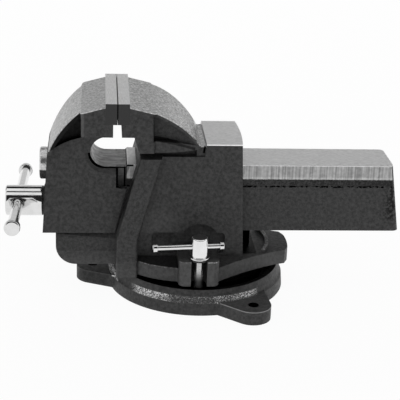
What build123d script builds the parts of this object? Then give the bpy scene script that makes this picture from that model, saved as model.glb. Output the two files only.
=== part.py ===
from build123d import *
from math import cos, radians, sin, tan
import os

# A swivel bench vise: a fixed body that turns on a lugged base plate, and a sliding jaw whose
# square beam runs through the body and is drawn in by a screw.
# Millimetres. Origin: centre of the base plate's underside. +X runs from the screw's handle
# towards the rear end of the beam, +Z is up. The vise is closed.

# Jaws
jaw_width = 150.0
jaw_line_x = -114.0
jaw_top_z = 278.0
jaw_gap = 0.4
plate_thickness = 15.5
plate_height = 28.0
plate_proud = 4.5
throat_setback = 5.5
ear_length = 47.0
ear_height_share = 0.577
front_arch_share = 0.468
rear_arch_share = 0.327
ear_top_fall = 7.5
ear_edge_r = 5.0
ear_shoulder = 13.0
arch_end_half = 53.0
arch_thickness = 9.0
plate_screw_spacing = 90.0
plate_screw_d = 8.0
plate_screw_length = 26.0
plate_screw_head_d = 13.0
plate_screw_head_h = 8.0
screw_sink = 1.0
screw_clearance = 0.3
groove_pitch = 5.0
groove_depth = 0.8

# Sliding jaw and its beam
beam_width = 75.0
beam_top_z = 183.0
beam_bottom_z = 88.5
beam_rear_x = 264.0
beam_end_lean = 8.8
beam_corner_r = 9.0
beam_wall = 12.0
beam_roof = 15.0
rail_height = 30.0
rail_depth = 1.0
front_width = 88.0
front_wall = 18.0
front_bottom_x = -213.5
front_bottom_z = 86.5
front_top_x = -206.5
front_top_z = 200.0
throat_end_x = -149.5
throat_height_share = 0.426
throat_floor_drop = 3.0
throat_floor_rear_x = -102.0
throat_edge = 7.0
notch_width = 12.5
notch_bottom_z = 151.0
web_half = 33.0
badge_pad_d = 44.0
badge_pad_z = 172.0
badge_pad_x = -218.0
badge_pad_edge_r = 2.5
spindle_boss_d = 46.0
spindle_boss_x = -212.0
jaw_foot_rear_x = -116.0
jaw_foot_lean = 13.8
shoulder_rise = 20.5
jaw_travel = 150.0

# Fixed body
body_bottom_z = 37.5
body_width = 107.0
body_rear_x = 55.5
body_rear_lean = 2.6
body_top_z = 200.0
front_lean = 15.0
front_foot_x = -114.0
front_foot_z = 86.0
frame_depth = 29.0
frame_top_width = 132.0
frame_foot_width = 152.0
frame_foot_bottom_z = 34.5
frame_edge_r = 4.0
swing_recess_front_x = -66.0
swing_recess_rear_x = 34.0
swing_recess_bottom_z = 61.0
swing_recess_top_z = 91.5
swing_recess_depth = 6.0
swing_scallop_r = 28.0
swing_scallop_top_z = 104.0
neck_width = 84.0
head_rise = 11.5
head_end_x = -3.0
head_rib_height = 16.0
head_recess_half = 57.0
head_recess_foot_share = 0.37507
bridge_half = 50.0
bridge_top_z = 213.5
anvil_top_z = 217.5
anvil_front_x = 5.0
anvil_bulge = 2.8
window_clearance = 0.5
flange_top_z = 57.5
flange_nose_x = 127.5
flange_nose_half = 33.5
flange_half = 96.0
flange_front_x = -100.0
flange_front_half = 56.0
flange_rib_r = 99.0
flange_rib_height = 5.0
flange_rib_width = 5.0
rear_rest_x = 73.0
rear_rest_half = 14.0
tongue_front_x = -196.0
tongue_corner_r = 27.0
tongue_width = 75.0
tongue_wall = 11.0
tongue_edge = 4.0
tongue_edge_front_z = 82.5
tongue_edge_rear_z = 75.0
floor_thickness = 13.0
pivot_boss_r = 24.0
seat_outer_r = 84.0
seat_inner_r = 60.0

# Base plate
base_r = 123.0
base_rim_r = 115.0
base_height = 34.0
base_wall_height = 17.0
base_cove_z = 25.0
base_cove_r = 117.5
base_turn = -2.2
lug_count = 3
lug_circle_r = 143.0
lug_r = 25.5
lug_height = 19.0
lug_root_r = 47.0
lug_root_x = 85.0
lug_blend_r = 14.0
lug_blend_circle_r = 119.0
bolt_hole_d = 14.0
bolt_circle_r = 146.0
slot_circle_r = 102.0
slot_width = 13.0
slot_head_width = 22.0
slot_lip = 11.0
slot_floor_z = 8.0
base_hollow_r = 84.0
base_deck = 12.0
base_hub_r = 27.0
base_hub_bottom_z = 14.0
base_rib_width = 8.0
base_rib_count = 6

# Pivot bolt
pivot_d = 16.0
pivot_clearance = 0.05
pivot_depth = 30.0
pivot_washer_d = 34.0
pivot_washer_h = 3.0
pivot_nut_flats = 24.0
pivot_nut_h = 8.0
pivot_gap = 0.3

# Spindle
spindle_z = 117.0
spindle_d = 26.0
spindle_clearance = 0.05
spindle_spare = 16.0
spindle_head_d = 42.0
spindle_head_x = -265.0
spindle_head_length = 50.5
spindle_collar_d = 38.0
collar_length = 8.0
collar_pin_d = 5.0
collar_gap = 0.3
thrust_washer_d = 41.0
thrust_gap = 0.3
nut_front_x = -110.0
nut_length = 56.0
nut_width = 42.0
nut_top_z = 141.0
nut_foot_height = 11.0
nut_foot_length = 96.0
nut_bolt_d = 10.0
nut_bolt_spacing = 78.0
nut_bolt_flats = 17.0
nut_bolt_head_h = 6.4
nut_bolt_depth = 9.0

# Handle
handle_d = 14.5
handle_clearance = 0.08
handle_x = -247.8
handle_tilt = -5.5
handle_length = 302.0
handle_offset = 19.0
handle_hole_mouth = 2.0
handle_cap_d = 21.0
handle_cap_length = 10.5
handle_cap_grip = 6.0

# Swivel locks
lock_stud_d = 12.0
lock_pad_top_z = 72.5
lock_boss_half = 27.0
lock_boss_y = 111.0
lock_boss_r = 9.0
lock_boss_blend_r = 5.0
lock_x = -4.3
lock_slot_half = 10.8
stud_head_width = 19.0
stud_head_height = 9.0
stud_gap = 0.4
stud_top_z = 85.5
lock_washer_d = 24.0
lock_washer_h = 3.0
lock_nut_d = 22.4
lock_nut_flange_d = 27.0
lock_nut_flange_h = 2.2
lock_nut_neck_d = 20.0
lock_nut_neck_h = 1.2
lock_nut_top_z = 105.0
lock_bar_z = 91.5
lock_bar_d = 7.6
lock_bar_clearance = 0.06
lock_bar_length = 89.0
lock_bar_offset = 14.8
lock_bar_turn = 5.0
lock_cap_d = 12.0
lock_cap_length = 5.8
lock_cap_grip = 3.0

os.makedirs("parts", exist_ok=True)

# Values worked out from the sizes above
half_jaw = jaw_width / 2
half_beam = beam_width / 2
half_front = front_width / 2
arch_top_z = jaw_top_z - plate_proud
plate_bottom_z = jaw_top_z - plate_height
head_height = jaw_top_z - body_top_z
head_bottom_z = body_top_z + head_rise
ear_bottom_z = jaw_top_z - ear_height_share * head_height
front_arch_fall = front_arch_share * head_height
rear_arch_fall = rear_arch_share * head_height
throat_roof_z = beam_top_z + throat_height_share * (jaw_top_z - beam_top_z)
plate_reach = plate_thickness + jaw_gap / 2
casting_reach = throat_setback + jaw_gap / 2
throat_floor_z = beam_top_z - throat_floor_drop
throat_r = (throat_roof_z - throat_floor_z) / 2
end_run = tan(radians(beam_end_lean)) * (beam_top_z - beam_bottom_z)
front_slope = tan(radians(front_lean))
window_half = half_beam + window_clearance
window_floor_z = beam_bottom_z - window_clearance
window_roof_z = beam_top_z + window_clearance
stud_circle_y = slot_circle_r
boss_rear_x = lock_x + lock_boss_half
deck_bottom_z = base_height - base_deck
plate_screw_z = jaw_top_z - plate_height / 2
front_inner_x = front_bottom_x + front_wall
collar_front_x = front_inner_x + collar_gap
head_rear_x = spindle_head_x + spindle_head_length
washer_front_x = head_rear_x + thrust_gap
spindle_end_x = nut_front_x + nut_length + jaw_travel + spindle_spare
nut_bolt_xs = [nut_front_x + (nut_length + end * nut_bolt_spacing) / 2 for end in (-1, 1)]
rear_run = tan(radians(body_rear_lean)) * (anvil_top_z - body_bottom_z)


def front_face_x(z):
    """Where the body's slanted front face lies at a height."""
    return front_foot_x + max(z - front_foot_z, 0.0) * front_slope


with BuildPart() as base_plate:
    # The turned casting: wall, cove and rim in one half section
    with BuildSketch(Plane.XZ):
        with BuildLine():
            Line((0, 0), (base_r, 0))
            Line((base_r, 0), (base_r - 1.5, base_wall_height))
            ThreePointArc(
                (base_r - 1.5, base_wall_height),
                ((base_r + base_cove_r) / 2 - 2.0, (base_wall_height + base_cove_z) / 2 + 1.0),
                (base_cove_r, base_cove_z),
            )
            Line((base_cove_r, base_cove_z), (base_rim_r, base_height))
            Line((base_rim_r, base_height), (0, base_height))
            Line((0, base_height), (0, 0))
        make_face()
    revolve(axis=Axis.Z)
    # Bolting lugs, each a rounded ear that runs out into the wall
    with BuildSketch() as lug_outline:
        Circle(lug_blend_circle_r)
        for number in range(lug_count):
            angle = 180 + base_turn + number * 360 / lug_count
            tip = Vector(lug_circle_r, 0).rotate(Axis.Z, angle)
            root = Vector(lug_root_x, 0).rotate(Axis.Z, angle)
            with BuildSketch(mode=Mode.PRIVATE) as ear:
                with Locations((tip.X, tip.Y)):
                    Circle(lug_r)
                with Locations((root.X, root.Y)):
                    Circle(lug_root_r)
                make_hull()
            add(ear.sketch)
        roots = vertices().filter_by(lambda v: abs(Vector(v).length - lug_blend_circle_r) < 0.01)
        fillet(roots, lug_blend_r)
    extrude(amount=lug_height)
    with Locations((0, 0, lug_height)):
        with PolarLocations(bolt_circle_r, lug_count, 180 + base_turn):
            Hole(bolt_hole_d / 2, depth=lug_height)
    # Annular T slot for the lock studs, with one round gate where their heads drop in
    with BuildSketch(Plane.XY.offset(base_height)):
        Circle(slot_circle_r + slot_width / 2)
        Circle(slot_circle_r - slot_width / 2, mode=Mode.SUBTRACT)
        gate = Vector(slot_circle_r, 0).rotate(Axis.Z, 30)
        with Locations((gate.X, gate.Y)):
            Circle(stud_head_width / 2 + 2)
    extrude(amount=slot_floor_z - base_height, mode=Mode.SUBTRACT)
    with BuildSketch(Plane.XY.offset(slot_floor_z)):
        Circle(slot_circle_r + slot_head_width / 2)
        Circle(slot_circle_r - slot_head_width / 2, mode=Mode.SUBTRACT)
    extrude(amount=base_height - slot_lip - slot_floor_z, mode=Mode.SUBTRACT)
    # Hollow underside with a hub and radial ribs
    with BuildSketch():
        Circle(base_hollow_r)
        with PolarLocations(0, base_rib_count // 2):
            Rectangle(2 * base_hollow_r + 2, base_rib_width, mode=Mode.SUBTRACT)
        Circle(base_hub_r, mode=Mode.SUBTRACT)
    extrude(amount=deck_bottom_z, mode=Mode.SUBTRACT)
    with BuildSketch():
        Circle(base_hub_r + 5)
    extrude(amount=base_hub_bottom_z, mode=Mode.SUBTRACT)
    with BuildSketch(Plane.XY.offset(base_height)):
        Circle(pivot_d / 2 + pivot_clearance)
    extrude(amount=-base_height, mode=Mode.SUBTRACT)
base_plate.part.label = "base_plate"
export_step(base_plate.part, "parts/base_plate.step")


with BuildPart() as front_frame:
    # The broad frame round the beam at the body's front: slanted above, upright at its foot,
    # and wider at the foot than at the top
    with BuildSketch(Plane.XZ):
        with BuildLine():
            Polyline(
                (front_foot_x, frame_foot_bottom_z),
                (front_foot_x, front_foot_z),
                (front_face_x(body_top_z), body_top_z),
                (front_face_x(body_top_z) + frame_depth, body_top_z),
                (front_foot_x + frame_depth, front_foot_z),
                (front_foot_x + frame_depth, frame_foot_bottom_z),
                close=True,
            )
        make_face()
    extrude(amount=frame_foot_width / 2, both=True)
    with BuildSketch(Plane.YZ.offset(front_foot_x)):
        with BuildLine():
            Polyline(
                (-frame_foot_width / 2, frame_foot_bottom_z),
                (frame_foot_width / 2, frame_foot_bottom_z),
                (frame_top_width / 2, body_top_z),
                (-frame_top_width / 2, body_top_z),
                close=True,
            )
        make_face()
    extrude(amount=2 * body_width, mode=Mode.INTERSECT)
    upright_edges = front_frame.edges().filter_by(lambda e: abs(e.tangent_at(0.5).Z) > 0.8)
    fillet(upright_edges, frame_edge_r)

with BuildPart() as rear_head:
    # The fixed jaw's head: two broad ears behind the plate, then an arch that falls and
    # narrows to the anvil
    ear_end_x = jaw_line_x + ear_length
    with BuildSketch(Plane.XZ):
        with BuildLine():
            Polyline(
                (head_end_x, head_bottom_z + 3.5),
                (head_end_x, head_bottom_z),
                (front_face_x(body_top_z) - 2.0, head_bottom_z),
                (front_face_x(body_top_z) - 8.5, ear_bottom_z),
                (jaw_line_x + casting_reach, ear_bottom_z),
                (jaw_line_x + casting_reach, plate_bottom_z),
                (jaw_line_x + plate_reach, plate_bottom_z),
                (jaw_line_x + plate_reach, arch_top_z),
                (ear_end_x, arch_top_z - ear_top_fall),
            )
            ThreePointArc(
                (ear_end_x, arch_top_z - ear_top_fall),
                (ear_end_x + 34.0, arch_top_z - rear_arch_fall),
                (head_end_x, head_bottom_z + 3.5),
            )
        make_face()
    extrude(amount=half_jaw, both=True)
    with BuildSketch(Plane.XY.offset(head_bottom_z - 1)):
        with BuildLine():
            Line((jaw_line_x, 0), (jaw_line_x, half_jaw))
            Line((jaw_line_x, half_jaw), (ear_end_x, half_jaw))
            Line((ear_end_x, half_jaw), (ear_end_x + 3, half_jaw - 5))
            ThreePointArc(
                (ear_end_x + 3, half_jaw - 5),
                (ear_end_x + 40, half_jaw - 9.5),
                (head_end_x, arch_end_half),
            )
            Line((head_end_x, arch_end_half), (head_end_x, 0))
            mirror(about=Plane.XZ)
        make_face()
        fillet(vertices().filter_by_position(Axis.X, ear_end_x - 0.1, ear_end_x + 0.1), 2)
    extrude(amount=jaw_top_z - head_bottom_z, mode=Mode.INTERSECT)
    # A shallow cast recess on each side between the arch and the rib along its foot
    recess_crown_z = arch_top_z - rear_arch_fall - arch_thickness / 2
    recess_foot_z = head_bottom_z + head_recess_foot_share * (recess_crown_z - head_bottom_z)
    for side in (-1, 1):
        with BuildSketch(Plane.XZ.offset(side * head_recess_half)):
            with BuildLine():
                Line(
                    (ear_end_x, head_bottom_z + head_rib_height),
                    (ear_end_x, arch_top_z - ear_top_fall - arch_thickness / 2),
                )
                ThreePointArc(
                    (ear_end_x, arch_top_z - ear_top_fall - arch_thickness / 2),
                    (ear_end_x + 32, recess_crown_z),
                    (head_end_x - 6, head_bottom_z + 6),
                )
                ThreePointArc(
                    (head_end_x - 6, head_bottom_z + 6),
                    (ear_end_x + 34, recess_foot_z),
                    (ear_end_x, head_bottom_z + head_rib_height),
                )
            make_face()
        extrude(amount=side * half_jaw, mode=Mode.SUBTRACT)

with BuildPart() as fixed_body:
    # Housing and anvil: one side profile, its rear face slightly bowed in plan
    with BuildSketch(Plane.XZ):
        with BuildLine():
            Polyline(
                (front_foot_x + 2, body_bottom_z),
                (front_foot_x + 2, front_foot_z),
                (front_face_x(body_top_z) + 2, body_top_z),
                (anvil_front_x - 2, body_top_z),
                (anvil_front_x, anvil_top_z),
                (body_rear_x + rear_run + 1, anvil_top_z),
                (body_rear_x + rear_run + 1, body_bottom_z),
                close=True,
            )
        make_face()
    extrude(amount=body_width / 2, both=True)
    lean = radians(body_rear_lean)
    rear_plane = Plane(
        origin=(body_rear_x, 0, anvil_top_z),
        x_dir=(cos(lean), 0, sin(lean)),
        z_dir=(-sin(lean), 0, cos(lean)),
    )
    with BuildSketch(rear_plane.offset(5)):
        with BuildLine():
            ThreePointArc(
                (-anvil_bulge, -body_width / 2),
                (0, 0),
                (-anvil_bulge, body_width / 2),
            )
            Polyline(
                (-anvil_bulge, body_width / 2),
                (rear_run + 10, body_width / 2),
                (rear_run + 10, -body_width / 2),
                (-anvil_bulge, -body_width / 2),
            )
        make_face()
    extrude(amount=-(anvil_top_z - body_bottom_z + 10), mode=Mode.SUBTRACT)
    # Foot flange, with a blunt nose at the rear and a pad on each side for the lock studs
    with BuildSketch(Plane.XY.offset(body_bottom_z)):
        with BuildLine():
            ThreePointArc((flange_front_x, flange_front_half), (-68, 83.2), (-24, flange_half))
            Line((-24, flange_half), (boss_rear_x, flange_half))
            ThreePointArc((boss_rear_x, flange_half), (62, 64.8), (flange_nose_x - 20, flange_nose_half + 5))
            Line((flange_nose_x - 20, flange_nose_half + 5), (flange_nose_x - 6, flange_nose_half))
            Line((flange_nose_x - 6, flange_nose_half), (flange_nose_x - 0.7, flange_nose_half - 12))
            ThreePointArc(
                (flange_nose_x - 0.7, flange_nose_half - 12),
                (flange_nose_x + 0.8, 0),
                (flange_nose_x - 0.7, 12 - flange_nose_half),
            )
            mirror(about=Plane.XZ)
            Line((flange_front_x, flange_front_half), (flange_front_x, -flange_front_half))
        make_face()
        with Locations((lock_x, 0)):
            Rectangle(2 * lock_boss_half, 2 * lock_boss_y)
        fillet(vertices().filter_by(lambda v: abs(v.Y) > lock_boss_y - 0.1), lock_boss_r)
        boss_sides = vertices().filter_by(lambda v: abs(abs(v.X - lock_x) - lock_boss_half) < 0.1)
        fillet(boss_sides.filter_by(lambda v: abs(v.Y) < lock_boss_y - lock_boss_r - 0.1), lock_boss_blend_r)
    extrude(amount=flange_top_z - body_bottom_z)
    with BuildSketch(Plane.XY.offset(body_bottom_z)):
        with Locations((lock_x, 0)):
            Rectangle(2 * lock_boss_half, 2 * lock_boss_y)
            fillet(vertices(), lock_boss_r)
    extrude(amount=lock_pad_top_z - body_bottom_z)
    add(front_frame.part)
    # Neck and head
    with BuildSketch(Plane.XY.offset(body_top_z)):
        with Locations(((front_face_x(body_top_z) + 2 + head_end_x - 4) / 2, 0)):
            Rectangle(head_end_x - 6 - front_face_x(body_top_z), neck_width)
    extrude(amount=head_bottom_z - body_top_z + 1)
    add(rear_head.part)
    # Bridge between the end of the arch and the anvil
    with BuildSketch(Plane.XY.offset(body_top_z)):
        with Locations(((head_end_x + anvil_front_x) / 2 - 2, 0)):
            Rectangle(anvil_front_x - head_end_x + 6, 2 * bridge_half)
    extrude(amount=bridge_top_z - body_top_z)
    # Tongue that carries the beam in front of the body
    with BuildSketch(Plane.XZ):
        with BuildLine():
            Line((front_foot_x + 5, body_bottom_z), (front_foot_x + 5, window_floor_z))
            Line((front_foot_x + 5, window_floor_z), (tongue_front_x, window_floor_z))
            Line((tongue_front_x, window_floor_z), (tongue_front_x, body_bottom_z + tongue_corner_r))
            CenterArc(
                (tongue_front_x + tongue_corner_r, body_bottom_z + tongue_corner_r),
                tongue_corner_r, 180, 90,
            )
            Line((tongue_front_x + tongue_corner_r, body_bottom_z), (front_foot_x + 5, body_bottom_z))
        make_face()
    extrude(amount=tongue_width / 2, both=True)
    # Its top corners are cut back in front of the body, deeper towards the frame
    for side in (-1, 1):
        for end_x, edge_z in (
            (tongue_front_x - 1, tongue_edge_front_z),
            (front_foot_x, tongue_edge_rear_z),
        ):
            with BuildSketch(Plane.YZ.offset(end_x)):
                with BuildLine():
                    Polyline(
                        (side * (tongue_width / 2 + 1), edge_z),
                        (side * tongue_width / 2, edge_z),
                        (side * (tongue_width / 2 - tongue_edge), window_floor_z),
                        (side * (tongue_width / 2 - tongue_edge), window_floor_z + 1),
                        (side * (tongue_width / 2 + 1), window_floor_z + 1),
                        close=True,
                    )
                make_face()
        loft(mode=Mode.SUBTRACT)
    # Rest for the beam behind the body, and a cast rib on the nose
    with BuildSketch(Plane.XY.offset(flange_top_z)):
        with Locations(((body_rear_x + rear_rest_x) / 2 - 3, 0)):
            Rectangle(rear_rest_x - body_rear_x + 6, 2 * rear_rest_half)
    extrude(amount=window_floor_z - flange_top_z)
    with BuildSketch(Plane.XY.offset(flange_top_z)):
        Circle(flange_rib_r + flange_rib_width / 2)
        Circle(flange_rib_r - flange_rib_width / 2, mode=Mode.SUBTRACT)
        with Locations((flange_rib_r, 0)):
            Rectangle(60, 82, mode=Mode.INTERSECT)
    extrude(amount=flange_rib_height)
    # Beam window, right through
    with BuildSketch(Plane.YZ.offset(front_foot_x - 1)):
        with Locations((0, (window_floor_z + window_roof_z) / 2)):
            Rectangle(2 * window_half, window_roof_z - window_floor_z)
    extrude(amount=body_rear_x - front_foot_x + 60, mode=Mode.SUBTRACT)
    # Swing recess and scallop in each side wall, for the lock handles
    for side in (-1, 1):
        with BuildSketch(Plane.XZ.offset(side * (body_width / 2 - swing_recess_depth))):
            with Locations((0, swing_scallop_top_z - swing_scallop_r)):
                Circle(swing_scallop_r)
            with Locations((0, swing_recess_bottom_z - swing_scallop_r)):
                Rectangle(2 * swing_scallop_r, 2 * swing_scallop_r, mode=Mode.SUBTRACT)
            with Locations((
                (swing_recess_front_x + swing_recess_rear_x) / 2,
                (swing_recess_bottom_z + swing_recess_top_z) / 2,
            )):
                RectangleRounded(
                    swing_recess_rear_x - swing_recess_front_x,
                    swing_recess_top_z - swing_recess_bottom_z,
                    6,
                )
        extrude(amount=side * 12, mode=Mode.SUBTRACT)
    # Open notch in each pad for the lock stud
    with BuildSketch(Plane.XY.offset(lock_pad_top_z + 20)):
        for side in (-1, 1):
            with Locations((lock_x, side * stud_circle_y)):
                Circle(lock_slot_half)
            with Locations((lock_x, side * (stud_circle_y + 15))):
                Rectangle(2 * lock_slot_half, 30)
    extrude(amount=body_bottom_z - lock_pad_top_z - 20, mode=Mode.SUBTRACT)
    # Turned seat on the base, the hollow below the beam's floor and a boss for the pivot bolt
    with BuildSketch(Plane.XY.offset(base_height)):
        Circle(seat_outer_r)
        Circle(seat_inner_r, mode=Mode.SUBTRACT)
    extrude(amount=body_bottom_z - base_height + 1)
    with BuildSketch(Plane.XY.offset(base_height)):
        with Locations(((tongue_front_x + body_rear_x) / 2, 0)):
            Rectangle(body_rear_x - tongue_front_x - 2 * tongue_wall, tongue_width - 2 * tongue_wall)
            fillet(vertices(), 8)
        Circle(pivot_boss_r, mode=Mode.SUBTRACT)
    extrude(amount=window_floor_z - floor_thickness - base_height, mode=Mode.SUBTRACT)
    # Holes for the pivot bolt, the nut's bolts and the plate's screws
    with BuildSketch(Plane.XY.offset(base_height)):
        Circle(pivot_d / 2)
    extrude(amount=body_bottom_z - base_height + pivot_depth, mode=Mode.SUBTRACT)
    with BuildSketch(Plane.XY.offset(window_floor_z)):
        with Locations(*[(x, 0) for x in nut_bolt_xs]):
            Circle(nut_bolt_d / 2)
    extrude(amount=-floor_thickness, mode=Mode.SUBTRACT)
    with BuildSketch(Plane.YZ.offset(jaw_line_x)):
        for side in (-1, 1):
            with Locations((side * plate_screw_spacing / 2, plate_screw_z)):
                Circle(plate_screw_d / 2)
    extrude(amount=screw_sink + plate_screw_length + 2, mode=Mode.SUBTRACT)
fixed_body.part.label = "fixed_body"
export_step(fixed_body.part, "parts/fixed_body.step")


with BuildPart() as front_head:
    # The sliding jaw's head: two broad ears behind the plate and an arch that falls and
    # narrows to the front
    ear_front_x = jaw_line_x - ear_length
    with BuildSketch(Plane.XZ):
        with BuildLine():
            Polyline(
                (front_top_x, front_top_z - 1),
                (ear_front_x, front_top_z - 1),
                (ear_front_x, ear_bottom_z),
                (jaw_line_x - casting_reach, ear_bottom_z),
                (jaw_line_x - casting_reach, plate_bottom_z),
                (jaw_line_x - plate_reach, plate_bottom_z),
                (jaw_line_x - plate_reach, arch_top_z),
                (ear_front_x, arch_top_z - ear_top_fall - 1),
            )
            ThreePointArc(
                (ear_front_x, arch_top_z - ear_top_fall - 1),
                (ear_front_x - 26.5, arch_top_z - front_arch_fall),
                (front_top_x, front_top_z - 1),
            )
        make_face()
    extrude(amount=half_jaw, both=True)
    with BuildSketch(Plane.XY.offset(front_top_z - 2)):
        with BuildLine():
            Line((jaw_line_x, 0), (jaw_line_x, half_jaw))
            Line((jaw_line_x, half_jaw), (ear_front_x, half_jaw))
            Line((ear_front_x, half_jaw), (ear_front_x - 2, half_jaw - ear_shoulder))
            ThreePointArc(
                (ear_front_x - 2, half_jaw - ear_shoulder),
                (ear_front_x - 28, 57.5),
                (front_top_x - 3, half_front),
            )
            Line((front_top_x - 3, half_front), (front_top_x - 3, 0))
            mirror(about=Plane.XZ)
        make_face()
        fillet(vertices().filter_by_position(Axis.X, ear_front_x - 0.1, ear_front_x + 0.1), ear_edge_r)
    extrude(amount=jaw_top_z - front_top_z, mode=Mode.INTERSECT)
    # Open pocket on each side below the arch
    for side in (-1, 1):
        with BuildSketch(Plane.XZ.offset(side * web_half)):
            with BuildLine():
                Polyline(
                    (front_top_x + 3, front_top_z - 5),
                    (ear_front_x, front_top_z - 5),
                    (ear_front_x, arch_top_z - ear_top_fall - 1 - arch_thickness),
                )
                ThreePointArc(
                    (ear_front_x, arch_top_z - ear_top_fall - 1 - arch_thickness),
                    (ear_front_x - 22, arch_top_z - front_arch_fall - arch_thickness / 2),
                    (front_top_x + 3, front_top_z - 5),
                )
            make_face()
        extrude(amount=side * half_jaw, mode=Mode.SUBTRACT)

with BuildPart() as sliding_jaw:
    # Front body, with the slanted rear edge that follows the fixed body's face
    foot_run = tan(radians(jaw_foot_lean))
    with BuildSketch(Plane.XZ):
        with BuildLine():
            Polyline(
                (front_bottom_x, front_bottom_z),
                (jaw_foot_rear_x, front_bottom_z),
                (jaw_foot_rear_x + foot_run * (notch_bottom_z - beam_bottom_z), notch_bottom_z),
                (jaw_foot_rear_x + foot_run * (notch_bottom_z - beam_bottom_z), beam_top_z),
                (jaw_line_x - casting_reach, beam_top_z),
                (jaw_line_x - casting_reach, ear_bottom_z + 1),
                (ear_front_x, ear_bottom_z + 1),
                (ear_front_x, front_top_z + shoulder_rise + 2),
            )
            ThreePointArc(
                (ear_front_x, front_top_z + shoulder_rise + 2),
                (ear_front_x - 25, front_top_z + 14),
                (front_top_x, front_top_z),
            )
            Line((front_top_x, front_top_z), (front_bottom_x, front_bottom_z))
        make_face()
    extrude(amount=half_front, both=True)
    add(front_head.part)
    # Beam, with its end leaning out towards the foot
    with BuildSketch(Plane.XZ):
        with BuildLine():
            Polyline(
                (front_inner_x, beam_bottom_z),
                (front_inner_x, beam_top_z),
                (beam_rear_x, beam_top_z),
                (beam_rear_x + end_run, beam_bottom_z),
                close=True,
            )
        make_face()
    beam = extrude(amount=half_beam, both=True)
    end_edges = beam.edges().filter_by(Axis.X, reverse=True).filter_by(Axis.Y, reverse=True)
    end_edges = end_edges.group_by(Axis.X)[-1]
    fillet(end_edges, beam_corner_r)
    # Boss for the screw and a bare round pad above it
    with BuildSketch(Plane.YZ.offset(spindle_boss_x)):
        with Locations((0, spindle_z)):
            Circle(spindle_boss_d / 2)
    extrude(amount=front_wall / 2)
    with BuildSketch(Plane.YZ.offset(badge_pad_x)):
        with Locations((0, badge_pad_z)):
            Circle(badge_pad_d / 2)
    pad = extrude(amount=front_wall)
    fillet(pad.edges().group_by(Axis.X)[0], badge_pad_edge_r)
    # Throat under the jaw, right through
    with BuildSketch(Plane.XZ, mode=Mode.PRIVATE) as throat:
        with Locations((throat_end_x + throat_r, throat_floor_z + throat_r)):
            Circle(throat_r)
        with BuildLine():
            Polyline(
                (throat_end_x + throat_r, throat_floor_z),
                (throat_floor_rear_x, throat_floor_z),
                (throat_floor_rear_x + throat_floor_drop, beam_top_z),
                (throat_floor_rear_x + throat_floor_drop, throat_roof_z),
                (throat_end_x + throat_r, throat_roof_z),
                close=True,
            )
        make_face()
    extrude(throat.sketch, amount=half_jaw, both=True, mode=Mode.SUBTRACT)
    # Its rear and lower edges are bevelled on each side
    for side in (-1, 1):
        for across, spread in ((half_front - throat_edge, 0.0), (half_front + 0.1, throat_edge)):
            with BuildSketch(Plane.XZ.offset(-side * across)):
                with Locations((throat_end_x + throat_r, throat_floor_z + throat_r)):
                    Circle(throat_r + spread)
                with Locations((throat_end_x + 2 * throat_r, throat_floor_z + throat_r)):
                    Rectangle(2 * throat_r, 2 * (throat_r + spread))
                with Locations((throat_end_x + throat_r, throat_roof_z)):
                    Rectangle(6 * throat_r, 2 * throat_r, mode=Mode.SUBTRACT)
        loft(mode=Mode.SUBTRACT)
    # Relief notch where the front body meets the beam, on each side
    notch_rear_x = jaw_foot_rear_x + foot_run * (notch_bottom_z - beam_bottom_z)
    for side in (-1, 1):
        with BuildSketch(Plane.XZ.offset(side * half_beam)):
            with BuildLine():
                Line((notch_rear_x, beam_top_z), (notch_rear_x - notch_width, beam_top_z))
                Line(
                    (notch_rear_x - notch_width, beam_top_z),
                    (notch_rear_x - notch_width, notch_bottom_z + 4),
                )
                CenterArc((notch_rear_x - notch_width + 4, notch_bottom_z + 4), 4, 180, 90)
                Line((notch_rear_x - notch_width + 4, notch_bottom_z), (notch_rear_x, notch_bottom_z))
                Line((notch_rear_x, notch_bottom_z), (notch_rear_x, beam_top_z))
            make_face()
        extrude(amount=side * half_beam, mode=Mode.SUBTRACT)
    # Milled rail along each side of the beam
    for side in (-1, 1):
        with BuildSketch(Plane.XZ.offset(side * (half_beam - rail_depth))):
            with Locations(((notch_rear_x + beam_rear_x) / 2 + 20, beam_top_z - rail_height / 2)):
                Rectangle(beam_rear_x - notch_rear_x + 40, rail_height)
        extrude(amount=side * half_beam, mode=Mode.SUBTRACT)
    # Channel for the screw and its nut, open below and at the end
    with BuildSketch(Plane.XY.offset(front_bottom_z)):
        with Locations(((front_inner_x + beam_rear_x) / 2 + 50, 0)):
            Rectangle(beam_rear_x - front_inner_x + 100, beam_width - 2 * beam_wall)
    extrude(amount=beam_top_z - beam_roof - front_bottom_z, mode=Mode.SUBTRACT)
    # The front body's sides hang a little below the beam, past the tongue's
    with BuildSketch(Plane.XY.offset(front_bottom_z)):
        with Locations(((tongue_front_x + jaw_foot_rear_x) / 2 + 9, 0)):
            Rectangle(jaw_foot_rear_x - tongue_front_x + 20, beam_width + 2)
    extrude(amount=beam_bottom_z - front_bottom_z, mode=Mode.SUBTRACT)
    # Spot face under the screw's washer, its bore, and the plate screws' holes
    with BuildSketch(Plane.YZ.offset(spindle_boss_x)):
        with Locations((0, spindle_z)):
            Circle(spindle_boss_d / 2)
    extrude(amount=-front_wall, mode=Mode.SUBTRACT)
    with BuildSketch(Plane.YZ.offset(spindle_boss_x)):
        with Locations((0, spindle_z)):
            Circle(spindle_d / 2 + spindle_clearance)
    extrude(amount=front_wall + 5, mode=Mode.SUBTRACT)
    with BuildSketch(Plane.YZ.offset(jaw_line_x)):
        for side in (-1, 1):
            with Locations((side * plate_screw_spacing / 2, plate_screw_z)):
                Circle(plate_screw_d / 2)
    extrude(amount=-screw_sink - plate_screw_length - 2, mode=Mode.SUBTRACT)
sliding_jaw.part.label = "sliding_jaw"
export_step(sliding_jaw.part, "parts/sliding_jaw.step")


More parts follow.
